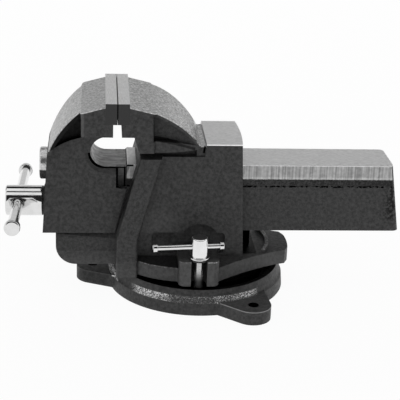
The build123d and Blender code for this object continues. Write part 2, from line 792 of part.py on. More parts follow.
with BuildPart() as rear_jaw_plate:
    # Gripping plate with upright grooves in its face and two sunk screw holes
    with BuildSketch(Plane.XY.offset(plate_bottom_z)):
        with Locations((jaw_line_x + (plate_reach + jaw_gap / 2) / 2, 0)):
            Rectangle(plate_thickness, jaw_width)
        groove_count = int(jaw_width / groove_pitch) - 1
        with Locations((jaw_line_x + jaw_gap / 2, 0)):
            with GridLocations(0, groove_pitch, 1, groove_count):
                RegularPolygon(groove_depth, 4, rotation=0, mode=Mode.SUBTRACT)
    extrude(amount=plate_height)
    with BuildSketch(Plane.YZ.offset(jaw_line_x)):
        for side in (-1, 1):
            with Locations((side * plate_screw_spacing / 2, plate_screw_z)):
                Circle(plate_screw_d / 2 + screw_clearance)
    extrude(amount=plate_reach + 1, mode=Mode.SUBTRACT)
    with BuildSketch(Plane.YZ.offset(jaw_line_x)):
        for side in (-1, 1):
            with Locations((side * plate_screw_spacing / 2, plate_screw_z)):
                Circle(plate_screw_head_d / 2 + 2 * screw_clearance)
    extrude(amount=jaw_gap / 2 + screw_sink + plate_screw_head_h, mode=Mode.SUBTRACT)
rear_jaw_plate.part.label = "rear_jaw_plate"
export_step(rear_jaw_plate.part, "parts/rear_jaw_plate.step")

with BuildPart() as front_jaw_plate:
    add(mirror(rear_jaw_plate.part, about=Plane.YZ.offset(jaw_line_x)))
front_jaw_plate.part.label = "front_jaw_plate"
export_step(front_jaw_plate.part, "parts/front_jaw_plate.step")


with BuildPart() as rear_plate_screws:
    # Socket head cap screws that hold the plate to the casting
    screw_face_x = jaw_line_x + jaw_gap / 2 + screw_sink
    with BuildSketch(Plane.YZ.offset(screw_face_x)):
        for side in (-1, 1):
            with Locations((side * plate_screw_spacing / 2, plate_screw_z)):
                Circle(plate_screw_head_d / 2)
    extrude(amount=plate_screw_head_h)
    with BuildSketch(Plane.YZ.offset(screw_face_x + plate_screw_head_h)):
        for side in (-1, 1):
            with Locations((side * plate_screw_spacing / 2, plate_screw_z)):
                Circle(plate_screw_d / 2)
    extrude(amount=plate_screw_length - plate_screw_head_h)
    with BuildSketch(Plane.YZ.offset(screw_face_x)):
        for side in (-1, 1):
            with Locations((side * plate_screw_spacing / 2, plate_screw_z)):
                RegularPolygon(plate_screw_d * 0.375, 6, major_radius=False)
    extrude(amount=plate_screw_head_h / 2, mode=Mode.SUBTRACT)
rear_plate_screws.part.label = "rear_plate_screws"
export_step(rear_plate_screws.part, "parts/rear_plate_screws.step")

with BuildPart() as front_plate_screws:
    add(mirror(rear_plate_screws.part, about=Plane.YZ.offset(jaw_line_x)))
front_plate_screws.part.label = "front_plate_screws"
export_step(front_plate_screws.part, "parts/front_plate_screws.step")


with BuildPart() as spindle:
    # Screw with its plain neck, and the head the handle passes through
    with BuildSketch(Plane.XZ):
        with BuildLine():
            Polyline(
                (spindle_head_x, 0),
                (spindle_head_x, spindle_head_d / 2 - 3),
                (spindle_head_x + 3, spindle_head_d / 2),
                (head_rear_x - 1, spindle_head_d / 2),
                (head_rear_x, spindle_head_d / 2 - 1),
                (head_rear_x, spindle_d / 2),
                (spindle_end_x - 3, spindle_d / 2),
                (spindle_end_x, spindle_d / 2 - 3),
                (spindle_end_x, 0),
                close=True,
            )
        make_face()
    revolve(axis=Axis.X)
    with BuildSketch(Plane.XZ.offset(-spindle_head_d)):
        with Locations((handle_x, 0)):
            Circle(handle_d / 2 + handle_clearance)
    extrude(amount=2 * spindle_head_d, mode=Mode.SUBTRACT)
    for side in (-1, 1):
        with Locations(Location((handle_x, side * spindle_head_d / 2, 0), (side * 90, 0, 0))):
            Cone(
                handle_d / 2 + handle_clearance,
                handle_d / 2 + handle_clearance + 2 * handle_hole_mouth,
                2 * handle_hole_mouth,
                mode=Mode.SUBTRACT,
            )
    with BuildSketch(Plane.XZ.offset(-spindle_head_d)):
        with Locations((collar_front_x + collar_length / 2, 0)):
            Circle(collar_pin_d / 2)
    extrude(amount=2 * spindle_head_d, mode=Mode.SUBTRACT)
spindle_part = spindle.part.rotate(Axis.X, handle_tilt).moved(Location((0, 0, spindle_z)))
spindle_part.label = "spindle"
export_step(spindle_part, "parts/spindle.step")

with BuildPart() as spindle_collar:
    with BuildSketch(Plane.YZ.offset(collar_front_x)):
        Circle(spindle_collar_d / 2)
        Circle(spindle_d / 2, mode=Mode.SUBTRACT)
    extrude(amount=collar_length)
    with BuildSketch(Plane.XZ.offset(-spindle_head_d)):
        with Locations((collar_front_x + collar_length / 2, 0)):
            Circle(collar_pin_d / 2)
    extrude(amount=2 * spindle_head_d, mode=Mode.SUBTRACT)
collar_part = spindle_collar.part.rotate(Axis.X, handle_tilt).moved(Location((0, 0, spindle_z)))
collar_part.label = "spindle_collar"
export_step(collar_part, "parts/spindle_collar.step")

with BuildPart() as collar_pin:
    with BuildSketch(Plane.XZ.offset(-spindle_collar_d / 2 + 0.5)):
        with Locations((collar_front_x + collar_length / 2, 0)):
            Circle(collar_pin_d / 2)
    extrude(amount=spindle_collar_d - 1)
pin_part = collar_pin.part.rotate(Axis.X, handle_tilt).moved(Location((0, 0, spindle_z)))
pin_part.label = "collar_pin"
export_step(pin_part, "parts/collar_pin.step")

with BuildPart() as thrust_washer:
    with BuildSketch(Plane.YZ.offset(washer_front_x)):
        with Locations((0, spindle_z)):
            Circle(thrust_washer_d / 2)
            Circle(spindle_d / 2 + spindle_clearance, mode=Mode.SUBTRACT)
    extrude(amount=spindle_boss_x - washer_front_x)
thrust_washer.part.label = "thrust_washer"
export_step(thrust_washer.part, "parts/thrust_washer.step")


with BuildPart() as spindle_nut:
    # Long nut on a foot, inside the beam's channel
    with BuildSketch(Plane.YZ.offset(nut_front_x)):
        with Locations((0, (window_floor_z + nut_top_z) / 2)):
            Rectangle(nut_width, nut_top_z - window_floor_z)
        fillet(vertices().group_by(Axis.Y)[-1], nut_width * 0.35)
    extrude(amount=nut_length)
    with BuildSketch(Plane.XY.offset(window_floor_z)):
        with Locations((nut_front_x + nut_length / 2, 0)):
            RectangleRounded(nut_foot_length, nut_width, 8)
    extrude(amount=nut_foot_height)
    with BuildSketch(Plane.YZ.offset(nut_front_x - 1)):
        with Locations((0, spindle_z)):
            Circle(spindle_d / 2 + spindle_clearance)
    extrude(amount=nut_length + 2, mode=Mode.SUBTRACT)
    with BuildSketch(Plane.XY.offset(window_floor_z)):
        with Locations(*[(x, 0) for x in nut_bolt_xs]):
            Circle(nut_bolt_d / 2)
    extrude(amount=nut_foot_height, mode=Mode.SUBTRACT)
spindle_nut.part.label = "spindle_nut"
export_step(spindle_nut.part, "parts/spindle_nut.step")

with BuildPart() as nut_bolts:
    with BuildSketch(Plane.XY.offset(window_floor_z - floor_thickness)):
        with Locations(*[(x, 0) for x in nut_bolt_xs]):
            Circle(nut_bolt_d / 2)
    extrude(amount=floor_thickness + nut_bolt_depth)
    with BuildSketch(Plane.XY.offset(window_floor_z - floor_thickness)):
        with Locations(*[(x, 0) for x in nut_bolt_xs]):
            RegularPolygon(nut_bolt_flats / 2, 6, major_radius=False)
    extrude(amount=-nut_bolt_head_h)
nut_bolts.part.label = "nut_bolts"
export_step(nut_bolts.part, "parts/nut_bolts.step")


# Handle, along its own line through the spindle's head
handle_place = Location((handle_x, 0, spindle_z), (handle_tilt, 0, 0))
half_handle = handle_length / 2

with BuildPart() as handle_bar:
    with BuildSketch(Plane.XZ.offset(-handle_offset - half_handle)):
        Circle(handle_d / 2)
    extrude(amount=handle_length)
handle_part = handle_bar.part.moved(handle_place)
handle_part.label = "handle_bar"
export_step(handle_part, "parts/handle_bar.step")

with BuildPart() as handle_cap:
    # Rounded cap pressed on the bar's end, drawn along +Z
    with BuildSketch(Plane.XZ):
        with BuildLine():
            Polyline(
                (handle_d / 2, -handle_cap_grip),
                (handle_cap_d / 2 - 1, -handle_cap_grip),
                (handle_cap_d / 2, 1 - handle_cap_grip),
                (handle_cap_d / 2, handle_cap_length - handle_cap_grip - 2),
            )
            ThreePointArc(
                (handle_cap_d / 2, handle_cap_length - handle_cap_grip - 2),
                (handle_cap_d / 2 - 0.7, handle_cap_length - handle_cap_grip - 0.7),
                (handle_cap_d / 2 - 2.2, handle_cap_length - handle_cap_grip),
            )
            Polyline(
                (handle_cap_d / 2 - 2.2, handle_cap_length - handle_cap_grip),
                (0, handle_cap_length - handle_cap_grip),
                (0, 0),
                (handle_d / 2, 0),
                (handle_d / 2, -handle_cap_grip),
            )
        make_face()
    revolve(axis=Axis.Z)

near_turn = Location((0, handle_offset - half_handle, 0), (90, 0, 0))
cap_near_part = handle_cap.part.moved(handle_place * near_turn)
cap_near_part.label = "handle_cap_near"
export_step(cap_near_part, "parts/handle_cap_near.step")

far_turn = Location((0, handle_offset + half_handle, 0), (-90, 0, 0))
cap_far_part = handle_cap.part.moved(handle_place * far_turn)
cap_far_part.label = "handle_cap_far"
export_step(cap_far_part, "parts/handle_cap_far.step")


with BuildPart() as pivot_bolt:
    # Stud screwed up into the body, on which the whole vise turns
    pivot_bottom_z = base_hub_bottom_z - pivot_gap - pivot_washer_h - pivot_nut_h
    with BuildSketch(Plane.XY.offset(pivot_bottom_z)):
        Circle(pivot_d / 2)
    extrude(amount=body_bottom_z + pivot_depth - pivot_bottom_z - 1)
pivot_bolt.part.label = "pivot_bolt"
export_step(pivot_bolt.part, "parts/pivot_bolt.step")

with BuildPart() as pivot_washer:
    with BuildSketch(Plane.XY.offset(base_hub_bottom_z - pivot_gap)):
        Circle(pivot_washer_d / 2)
        Circle(pivot_d / 2, mode=Mode.SUBTRACT)
    extrude(amount=-pivot_washer_h)
pivot_washer.part.label = "pivot_washer"
export_step(pivot_washer.part, "parts/pivot_washer.step")

with BuildPart() as pivot_nut:
    with BuildSketch(Plane.XY.offset(base_hub_bottom_z - pivot_gap - pivot_washer_h)):
        RegularPolygon(pivot_nut_flats / 2, 6, major_radius=False)
        Circle(pivot_d / 2, mode=Mode.SUBTRACT)
    extrude(amount=-pivot_nut_h)
pivot_nut.part.label = "pivot_nut"
export_step(pivot_nut.part, "parts/pivot_nut.step")


# The two swivel locks, one on each side; each piece is drawn about the stud's axis
for side, name in ((-1, "near"), (1, "far")):
    axis_place = Location((lock_x, side * stud_circle_y, 0))
    bar_place = Location((lock_x, side * stud_circle_y, lock_bar_z), (0, 0, lock_bar_turn * -side))

    with BuildPart() as lock_stud:
        head_top_z = base_height - slot_lip - stud_gap
        with BuildSketch(Plane.XY.offset(head_top_z)):
            RectangleRounded(stud_head_width, stud_head_width, 3)
        extrude(amount=-stud_head_height)
        with BuildSketch(Plane.XY.offset(head_top_z)):
            Circle(lock_stud_d / 2)
        extrude(amount=stud_top_z - head_top_z)
    stud_part = lock_stud.part.moved(axis_place)
    stud_part.label = f"lock_stud_{name}"
    export_step(stud_part, f"parts/lock_stud_{name}.step")

    with BuildPart() as lock_washer:
        with BuildSketch(Plane.XY.offset(lock_pad_top_z)):
            Circle(lock_washer_d / 2)
            Circle(lock_stud_d / 2 + lock_bar_clearance, mode=Mode.SUBTRACT)
        extrude(amount=lock_washer_h)
    washer_part = lock_washer.part.moved(axis_place)
    washer_part.label = f"lock_washer_{name}"
    export_step(washer_part, f"parts/lock_washer_{name}.step")

    with BuildPart() as lock_nut:
        nut_foot_z = lock_pad_top_z + lock_washer_h
        with BuildSketch(Plane.XZ):
            with BuildLine():
                Polyline(
                    (lock_stud_d / 2 + lock_bar_clearance, nut_foot_z),
                    (lock_nut_flange_d / 2 - 0.5, nut_foot_z),
                    (lock_nut_flange_d / 2, nut_foot_z + lock_nut_flange_h / 2),
                    (lock_nut_flange_d / 2 - 0.5, nut_foot_z + lock_nut_flange_h),
                    (lock_nut_neck_d / 2, nut_foot_z + lock_nut_flange_h),
                    (lock_nut_neck_d / 2, nut_foot_z + lock_nut_flange_h + lock_nut_neck_h),
                    (lock_nut_d / 2, nut_foot_z + lock_nut_flange_h + lock_nut_neck_h),
                    (lock_nut_d / 2, lock_nut_top_z - 1.5),
                    (lock_nut_d / 2 - 1.5, lock_nut_top_z),
                    (0, lock_nut_top_z),
                    (0, stud_top_z + stud_gap),
                    (lock_stud_d / 2 + lock_bar_clearance, stud_top_z + stud_gap),
                    close=True,
                )
            make_face()
        revolve(axis=Axis.Z)
    with BuildPart() as nut_cross_hole:
        with BuildSketch(Plane.YZ.offset(-lock_nut_d)):
            Circle(lock_bar_d / 2 + lock_bar_clearance)
        extrude(amount=2 * lock_nut_d)
    nut_part = lock_nut.part.moved(axis_place) - nut_cross_hole.part.moved(bar_place)
    nut_part.label = f"lock_nut_{name}"
    export_step(nut_part, f"parts/lock_nut_{name}.step")

    with BuildPart() as lock_bar:
        with BuildSketch(Plane.YZ.offset(-lock_bar_offset - lock_bar_length / 2)):
            Circle(lock_bar_d / 2)
        extrude(amount=lock_bar_length)
    bar_part = lock_bar.part.moved(bar_place)
    bar_part.label = f"lock_bar_{name}"
    export_step(bar_part, f"parts/lock_bar_{name}.step")

    with BuildPart() as lock_bar_caps:
        for end in (-1, 1):
            cap_x = end * lock_bar_length / 2 - lock_bar_offset
            with BuildSketch(Plane.YZ.offset(cap_x - end * lock_cap_grip)):
                Circle(lock_cap_d / 2)
            extrude(amount=end * lock_cap_length)
        fillet(edges().filter_by(GeomType.CIRCLE), 1)
        with BuildSketch(Plane.YZ.offset(-lock_bar_offset - lock_bar_length / 2)):
            Circle(lock_bar_d / 2)
        extrude(amount=lock_bar_length, mode=Mode.SUBTRACT)
    caps_part = lock_bar_caps.part.moved(bar_place)
    caps_part.label = f"lock_bar_caps_{name}"
    export_step(caps_part, f"parts/lock_bar_caps_{name}.step")
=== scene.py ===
# %% [markdown]
# # A swivel bench vise, closed, with its screw to the left
#
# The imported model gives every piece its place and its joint. This file gives each piece the
# surface that it has on the bench: cast iron under black enamel, milled slides, ground jaw
# plates and bright chrome. Each step below says what the piece is before it makes it.

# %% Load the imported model
import bmesh
import bpy
from math import cos, pi, radians, sin
from mathutils import Matrix, Vector


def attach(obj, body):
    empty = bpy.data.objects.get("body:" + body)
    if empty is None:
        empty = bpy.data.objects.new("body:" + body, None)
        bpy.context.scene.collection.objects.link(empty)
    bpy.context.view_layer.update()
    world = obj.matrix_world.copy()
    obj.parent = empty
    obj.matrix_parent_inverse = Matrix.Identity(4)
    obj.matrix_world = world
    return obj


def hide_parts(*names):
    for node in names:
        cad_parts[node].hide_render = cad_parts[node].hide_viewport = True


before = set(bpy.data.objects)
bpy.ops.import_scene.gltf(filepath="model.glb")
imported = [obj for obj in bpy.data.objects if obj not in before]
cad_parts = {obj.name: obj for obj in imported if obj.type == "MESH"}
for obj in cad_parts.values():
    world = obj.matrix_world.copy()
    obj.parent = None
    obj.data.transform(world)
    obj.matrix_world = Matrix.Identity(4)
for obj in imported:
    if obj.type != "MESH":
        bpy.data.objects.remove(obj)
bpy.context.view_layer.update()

# %% [markdown]
# ## The camera
#
# The picture was taken with a long lens from a little above the vise, from its side, turned a
# few degrees towards the screw's end. A long lens keeps upright edges upright. The camera is
# given by where it stands and how it is pitched, turned and rolled, so that each number can be
# read by itself.

# %% Stand the camera at the photographer's place
camera_place = Vector((-0.1384, -1.5726, 0.7215))
camera_pitch, camera_turn, camera_roll = 0.36481, 0.08968, 0.03755
lens_length, sensor_width = 109.02, 36
nearest, farthest = 0.05, 60


def placed(name, data):
    """A new object in the scene, at the origin."""
    piece = bpy.data.objects.new(name, data)
    bpy.context.scene.collection.objects.link(piece)
    return piece


def camera_axes(pitch, turn, roll):
    """The camera's right, up and forward directions."""
    forward = Vector((sin(turn) * cos(pitch), cos(turn) * cos(pitch), -sin(pitch)))
    level = Vector((cos(turn), -sin(turn), 0))
    upright = level.cross(forward)
    return (
        level * cos(roll) + upright * sin(roll),
        upright * cos(roll) - level * sin(roll),
        forward,
    )


camera_data = bpy.data.cameras.new("camera")
camera_data.lens, camera_data.sensor_width = lens_length, sensor_width
camera_data.clip_start, camera_data.clip_end = nearest, farthest
camera = placed("camera", camera_data)
right, up, forward = camera_axes(camera_pitch, camera_turn, camera_roll)
facing = Matrix((right, up, -forward)).transposed().to_4x4()
camera.matrix_world = Matrix.Translation(camera_place) @ facing
bpy.context.scene.camera = camera
bpy.context.scene.view_settings.view_transform = "Standard"
print("camera looks along", tuple(round(a, 3) for a in forward))

# %% [markdown]
# ## Finishes are small node trees
#
# A finish is a shader with a few nodes before it, and most of these do sums on a point's place.
# Written node by node, such sums are long and hard to read. So a field stands for a number at
# each point of a surface, and fields add, multiply and mask one another as plain numbers do.
# Every sum puts its own node into the tree.


# %% Add a node
def source(value):
    """What a socket can take: a node's first output, a field's socket or a plain value."""
    if isinstance(value, bpy.types.Node):
        return value.outputs[0]
    return getattr(value, "socket", value)


def put(tree, kind, at=None, **values):
    """Add a node to a shader or geometry tree. at fills its sockets, by number or name."""
    node = tree.nodes.new(tree.bl_idname.removesuffix("Tree") + kind)
    for key, value in values.items():
        setattr(node, key, value)
    for key, value in (at or {}).items():
        value = source(value)
        if isinstance(value, bpy.types.NodeSocket):
            tree.links.new(value, node.inputs[key])
        else:
            node.inputs[key].default_value = value
    return node


print("node helpers ready")


# %% Fields and masks
class Field:
    """A number at each point of a surface. A mask is a field from 0 to 1."""

    def __init__(self, socket):
        self.socket, self.tree = socket, socket.id_data

    def math(self, operation, *others):
        """One Math node's result, with this field as its first value."""
        at = dict(enumerate((self, *others)))
        return Field(put(self.tree, "Math", at, operation=operation).outputs[0])

    def __abs__(self):
        return self.math("ABSOLUTE")

    def __add__(self, other):
        return self.math("ADD", other)

    def __sub__(self, other):
        return self.math("SUBTRACT", other)

    def __mul__(self, other):
        return self.math("MULTIPLY", other)

    def __and__(self, other):
        """Both masks at once."""
        return self * other

    def __or__(self, other):
        """The stronger of two masks."""
        return self.math("MAXIMUM", other)

    def __invert__(self):
        """Where a mask isn't."""
        return self.math("MULTIPLY_ADD", -1.0, 1.0)

    def spread(self, low, high, to_low=0.0, to_high=1.0):
        """Stretch the part between low and high smoothly over to_low and to_high."""
        at = {0: self, 1: low, 2: high, 3: to_low, 4: to_high}
        return Field(put(self.tree, "MapRange", at, interpolation_type="SMOOTHSTEP").outputs[0])

    def over(self, low, high):
        """Stretch a noise, which mostly lies between 0.3 and 0.7, over low and high."""
        return self.spread(0.3, 0.7, low, high)

    def above(self, edge, soft=0.3):
        """The mask above an edge, which fades over soft on both sides of it."""
        return self.spread(edge - soft, edge + soft)

    def below(self, edge, soft=0.3):
        """The mask below an edge."""
        return self.spread(edge - soft, edge + soft, 1.0, 0.0)

    def within(self, low, high, soft=0.3):
        """The mask between two edges."""
        return self.above(low, soft) & self.below(high, soft)


def blend(share, first, second):
    """The first value where the share is 0, and the second where it is 1."""
    at = {0: share, 2: first, 3: second}
    return Field(put(share.tree, "Mix", at, data_type="FLOAT").outputs[0])


print("fields ready")


# %% Places, noises and the shader
def millimetres(tree):
    """A point's x, y and z on its piece, in millimetres."""
    metres = put(tree, "TexCoord").outputs["Object"]
    place = put(tree, "Mapping", {"Vector": metres, "Scale": (1000, 1000, 1000)})
    return [Field(axis) for axis in put(tree, "SeparateXYZ", {0: place}).outputs]


def grain(tree, scale, detail=2.0, roughness=0.5, stretch=(1, 1, 1)):
    """A noise on a piece, with scale lumps to the metre. A stretch under 1 draws them out."""
    metres = put(tree, "TexCoord").outputs["Object"]
    place = put(tree, "Mapping", {"Vector": metres, "Scale": stretch})
    at = {"Vector": place, "Scale": scale, "Detail": detail, "Roughness": roughness}
    return Field(put(tree, "TexNoise", at).outputs[0])


def grey(level):
    return (level, level, level, 1)


def finish_of(name, **shader_values):
    """A new material: its node tree and its shader, with plain values set on the shader."""
    material = bpy.data.materials.new(name)
    material.use_nodes = True
    shader = material.node_tree.nodes["Principled BSDF"]
    for key, value in shader_values.items():
        shader.inputs[key.replace("_", " ")].default_value = value
    return material, material.node_tree, shader


def feed(shader, **fields):
    """Let fields drive the shader's sockets that the keywords name."""
    for key, field in fields.items():
        shader.id_data.links.new(source(field), shader.inputs[key.replace("_", " ")])


def relief(shader, height, strength, depth):
    """Turn a height into a bump on the shader."""
    at = {"Strength": strength, "Distance": depth, "Height": height}
    feed(shader, Normal=put(shader.id_data, "Bump", at))


print("finish helpers ready")

# %% [markdown]
# ## Black enamel on cast iron, with its bare places, painted light and painted shade
#
# The three castings are dipped in black enamel. The sand's grain shows through the coat, and
# the places that a cutter has faced afterwards are bare iron. Paint, bare iron, dirt, painted
# light and painted shade are kept in one material for each casting, with masks between them
# that follow the cut faces, the worn edges and the corners, because that is how the real surface
# changes: in the middle of a face, at a slightly ragged line. Some bare edges also stand in for
# highlights. Paler paint is painted light where a surface would lie in shade, and black is painted
# as shade in corners, hollows and shadow lines. The masks' places are in millimetres from the
# middle of the base's foot: x along the vise towards the anvil, y across it and z up.

# %% Enamel, bare iron, dirt, painted light and painted shade in one finish
enamel_dark, enamel_light, dust_and_light_tone = 0.014, 0.050, 0.03
enamel_smooth, enamel_rough, iron_smoother = 0.46, 0.60, -0.12
sand_depth, sand_strength = 0.0006, 0.5


def casting_finish(name, wear):
    """Black enamel with the bare places, dirt, painted light and painted shade of wear().

    wear() gives four fields: how bare a point is, how pale its iron is, how much paler its
    paint is, from dust and painted light, and how black it is, from grease and painted shade.
    """
    material, tree, shader = finish_of(name, Specular_IOR_Level=0.38)
    bare, pale, dust_and_light, grease_and_shade = wear(tree, *millimetres(tree))
    enamel = dust_and_light * dust_and_light_tone + grain(tree, 210, 4, 0.75).over(enamel_dark, enamel_light)
    iron = pale * grain(tree, 160, 3, stretch=(1, 8, 1)).over(0.86, 1.12)
    gloss = bare * iron_smoother + grain(tree, 240).over(enamel_smooth, enamel_rough)
    # Grease, and black painted as shade in hollows, turn the surface to black metal that mirrors
    # nothing.
    tone = blend(bare, enamel, iron) & ~grease_and_shade
    feed(shader, Base_Color=tone, Metallic=bare | grease_and_shade, Roughness=gloss)
    relief(shader, grain(tree, 620, 3) & ~bare, sand_strength, sand_depth)
    return material


def mottled(tree, strength):
    """A value about 1 that varies in lumps, for iron that was ground by hand."""
    lumps = grain(tree, 300, 3, 0.7) - 0.5
    return (lumps * strength + 1.0) | 0.1


print("casting finish ready")


# %% Circles, arcs and lines, in millimetres
def reach_from(centre, across, up):
    """How far a point lies from a centre, seen along one axis."""
    over, rise = across - centre[0], up - centre[1]
    return (over * over + rise * rise).math("POWER", 0.5)


def circle_through(first, second, third):
    """The centre and radius of the circle through three points."""
    (ax, ay), (bx, by), (cx, cy) = first, second, third
    twice = 2 * (ax * (by - cy) + bx * (cy - ay) + cx * (ay - by))
    a, b, c = ax * ax + ay * ay, bx * bx + by * by, cx * cx + cy * cy
    middle = ((a * (by - cy) + b * (cy - ay) + c * (ay - by)) / twice,
              (a * (cx - bx) + b * (ax - cx) + c * (bx - ax)) / twice)
    return middle, ((ax - middle[0]) ** 2 + (ay - middle[1]) ** 2) ** 0.5


def outside(arc, across, up, depth=1.2):
    """The mask outside an arc through three points, moved inwards by a depth."""
    centre, radius = circle_through(*arc)
    return reach_from(centre, across, up).above(radius - depth, 0.4)


def over_line(line, across, up, depth=1.2):
    """The mask above a line between two points, lowered by a depth."""
    (left, low), (right, high) = line
    slope = (high - low) / (right - left)
    return (up - (across * slope + (low - slope * left - depth))).above(0)


print("a half circle's radius:", circle_through((1, 0), (0, 1), (-1, 0))[1])

# %% [markdown]
# ## Wear, painted light and painted shade on the base
#
# Between the base's rim and its lugs runs a cast cove, where the enamel has rubbed off in
# speckles, more of them and paler at the two ends than in the middle: wear, and also a painted
# highlight. The lugs' top edges are bare, worn and a painted highlight at once. The lug tops are
# painted paler as light, the base's top under the body and its bolt holes are painted black as
# shade, and the left lug's side is painted darker. All of this follows from how high a point
# lies and how far it is from the pivot.

# %% Where the base is worn, and where light and shade are painted on it
hole_circle, first_lug_angle, lug_hole_radius = 146.0, 177.8, 7.3


def base_wear(tree, x, y, z):
    """Cove speckles, bare lug edges that are also a painted highlight, and painted light and shade.
    """
    reach = reach_from((0, 0), x, y)
    left, right = x.below(-42, 6), x.above(18, 6)
    cove = z.above(16.8) & z.below(25.2, 0.6) & reach.within(116.5, 123.5) & x.below(76, 4)
    cove = cove & (x.below(-111, 1) | x.above(-88, 7))
    speckle_level = left * -0.065 + right * -0.04 + 0.56
    specks = (grain(tree, 640, 2, 0.65) - speckle_level).above(0, 0.012)
    # The lugs' top edges are bare iron where a highlight runs: wear and a painted highlight.
    lug_edge = z.above(17.7) & z.below(18.9, 0.1) & x.above(0) & reach.above(126)
    # The lug tops are painted paler: painted light.
    lug_top = z.within(18.3, 21.5) & reach.above(124)
    lug_side = x.below(-125, 4) & z.within(3, 17)
    # The base's top under the body and the bolt holes are painted black as shade; the left lug's side
    # is painted darker.
    grease_and_shade = reach.below(114.6) & z.above(0.5) | lug_side * 0.28
    for lug in range(3):
        way = radians(first_lug_angle + 120 * lug)
        hole = (hole_circle * cos(way), hole_circle * sin(way))
        grease_and_shade = grease_and_shade | reach_from(hole, x, y).below(lug_hole_radius)
    bare = cove & specks | lug_edge * 0.35
    # The cove's iron is paler at its two ends: wear, and also a painted highlight.
    pale = left * 0.42 + right * 0.38 + 0.30
    return bare, pale, cove * 0.6 | lug_top * 0.45, grease_and_shade


base_finish = casting_finish("enamel_on_base", base_wear)
print("base finish:", base_finish.name, len(base_finish.node_tree.nodes), "nodes")

# %% [markdown]
# ## Wear, painted light and painted shade on the fixed body
#
# The anvil and the top of the bridge in front of it are milled, and the anvil's edge band is
# painted paler as a highlight. The arch that falls from the jaw to the anvil is ground by hand,
# which leaves it mottled, and its ears are ground along their tops. The foot flange's rounded
# corner, its rib and the rims of its two pads are bare where highlights run along them, worn and
# a painted highlight at once. The rest is painted light and shade: paler paint low on the body
# and on its cheek, and black painted as shade under the beam, in hollows and along shadow lines.

# %% Where the fixed body is bare, with its painted highlights
rear_arch = ((-67.0, 266.0), (-33.0, 248.0), (-3.0, 215.0))
rear_ear = ((-98.3, 273.5), (-67.0, 266.0))
flange_corner = ((-100.0, 56.0), (-68.0, 83.2), (-24.0, 96.0))
anvil_top, bridge_top = 216.1, 212.8


def body_iron(tree, x, side, z):
    """How bare the fixed body is, and how pale its iron."""
    anvil = z.above(anvil_top, 0.2) & x.above(4)
    bridge = z.above(bridge_top, 0.2) & x.within(-5.8, 6.6) & side.below(50.5)
    arch = outside(rear_arch, x, z) & x.within(-67, 1) & z.above(215.5)
    ear = over_line(rear_ear, x, z) & x.below(-67)
    # The flange's corner, the pads' rims and the rib's top are bare where highlights run: wear and
    # painted highlights.
    corner = outside(flange_corner, x, side, 1.0) & z.within(56.4, 58.0) & x.within(-87.5, -30)
    corner = corner & grain(tree, 300).above(0.44, 0.06)
    pads = side.above(106) & z.above(71.2) & z.below(72.4, 0.1)
    pads = pads & grain(tree, 300).above(0.48, 0.06)
    rib = z.within(61, 64) & x.above(78) & grain(tree, 260).above(0.48, 0.06)
    bare = anvil | arch | ear | bridge | (corner | pads) * 0.7 | rib * 0.3
    low = z.below(232, 22) & x.below(-6.5, 1.0)
    ground = mottled(tree, low * 5.5 + 3.4) * (low * -0.36 + 0.51)
    # The anvil's edge band is painted paler than its top: a painted highlight.
    milled_and_edge_highlight = side.above(51.2, 0.8) * 0.24 + 0.76
    flat = (z.above(anvil_top, 0.2) | corner) & x.above(4)
    return bare, blend(flat, ground, milled_and_edge_highlight)


print("the rear arch's radius:", round(circle_through(*rear_arch)[1], 1), "mm")

# %% Where light and shade are painted on the fixed body
recess_foot = ((-67.1, 227.2), (-36.0, 220.8), (-11.2, 211.0))
frame_edge = ((-93.8, 160.9), (-84.4, 197.6))
bridge_lean = -0.14


def body_light_and_shade(tree, x, side, z):
    """Painted light, as paler paint, and painted shade, as black, on the fixed body."""
    # Paler paint, which is painted light, lies on the pads' fronts, the flange's skirt and the body's
    # cheek.
    pad_light = side.above(100, 6) & z.below(74)
    lit_skirt = z.spread(38, 56, 1.0, 0.0) * 0.5 + x.spread(20, 45, 0.35, 0.75)
    lit_skirt = lit_skirt & z.below(57.2) & side.above(30)
    lit_cheek = x.below(-35, 12) & z.above(92, 3) & z.below(122, 12) & side.within(50, 56)
    dust_and_light = pad_light | lit_skirt | lit_cheek * 0.6
    # Black is painted as shade under the beam and along shadow lines, and fainter in the swing recess
    # and over the tongue.
    shade_under_beam = x.within(54.5, 80) & side.below(46) & z.within(55, 88)
    ear_shadow_line = x.within(-68.3, -65.0) & side.above(55) & z.within(226, 264)
    recess_shadow_line = outside(recess_foot, x, z, 0.0) & ~outside(recess_foot, x, z, -3.4)
    recess_shadow_line = recess_shadow_line & x.within(-67.1, -11.2) & side.above(55)
    flange_top_shade = z.within(56.8, 58.2) & side.within(54.5, 95.0) & x.above(-85.5) & x.below(0, 20)
    frame_front_shade = over_line(frame_edge, x, z, 0.0) & side.above(45) & x.below(-80)
    frame_front_shade = frame_front_shade & z.above(115, 10) & z.below(199)
    swing_recess_shade = side.within(40, 49) & x.within(-66, 34) & z.within(60, 104.5)
    swing_recess_shade = swing_recess_shade & grain(tree, 60).spread(0.42, 0.58, 0.4, 1.0)
    shade_over_tongue = z.above(79, 4) & z.below(90) & x.below(-115)
    bridge_foot_shade = (z * bridge_lean + x + 30).within(1.3, 4.0)
    bridge_foot_shade = bridge_foot_shade & side.above(45) & z.within(204.5, 215.9)
    lines = ear_shadow_line | flange_top_shade | frame_front_shade
    grease_and_shade = shade_under_beam | bridge_foot_shade | lines * 0.4 | recess_shadow_line * 0.6
    return dust_and_light, grease_and_shade | (swing_recess_shade | shade_over_tongue) * 0.3


def body_wear(tree, x, y, z):
    """The fixed body's wear, painted light and painted shade, alike on both sides."""
    return *body_iron(tree, x, abs(y), z), *body_light_and_shade(tree, x, abs(y), z)


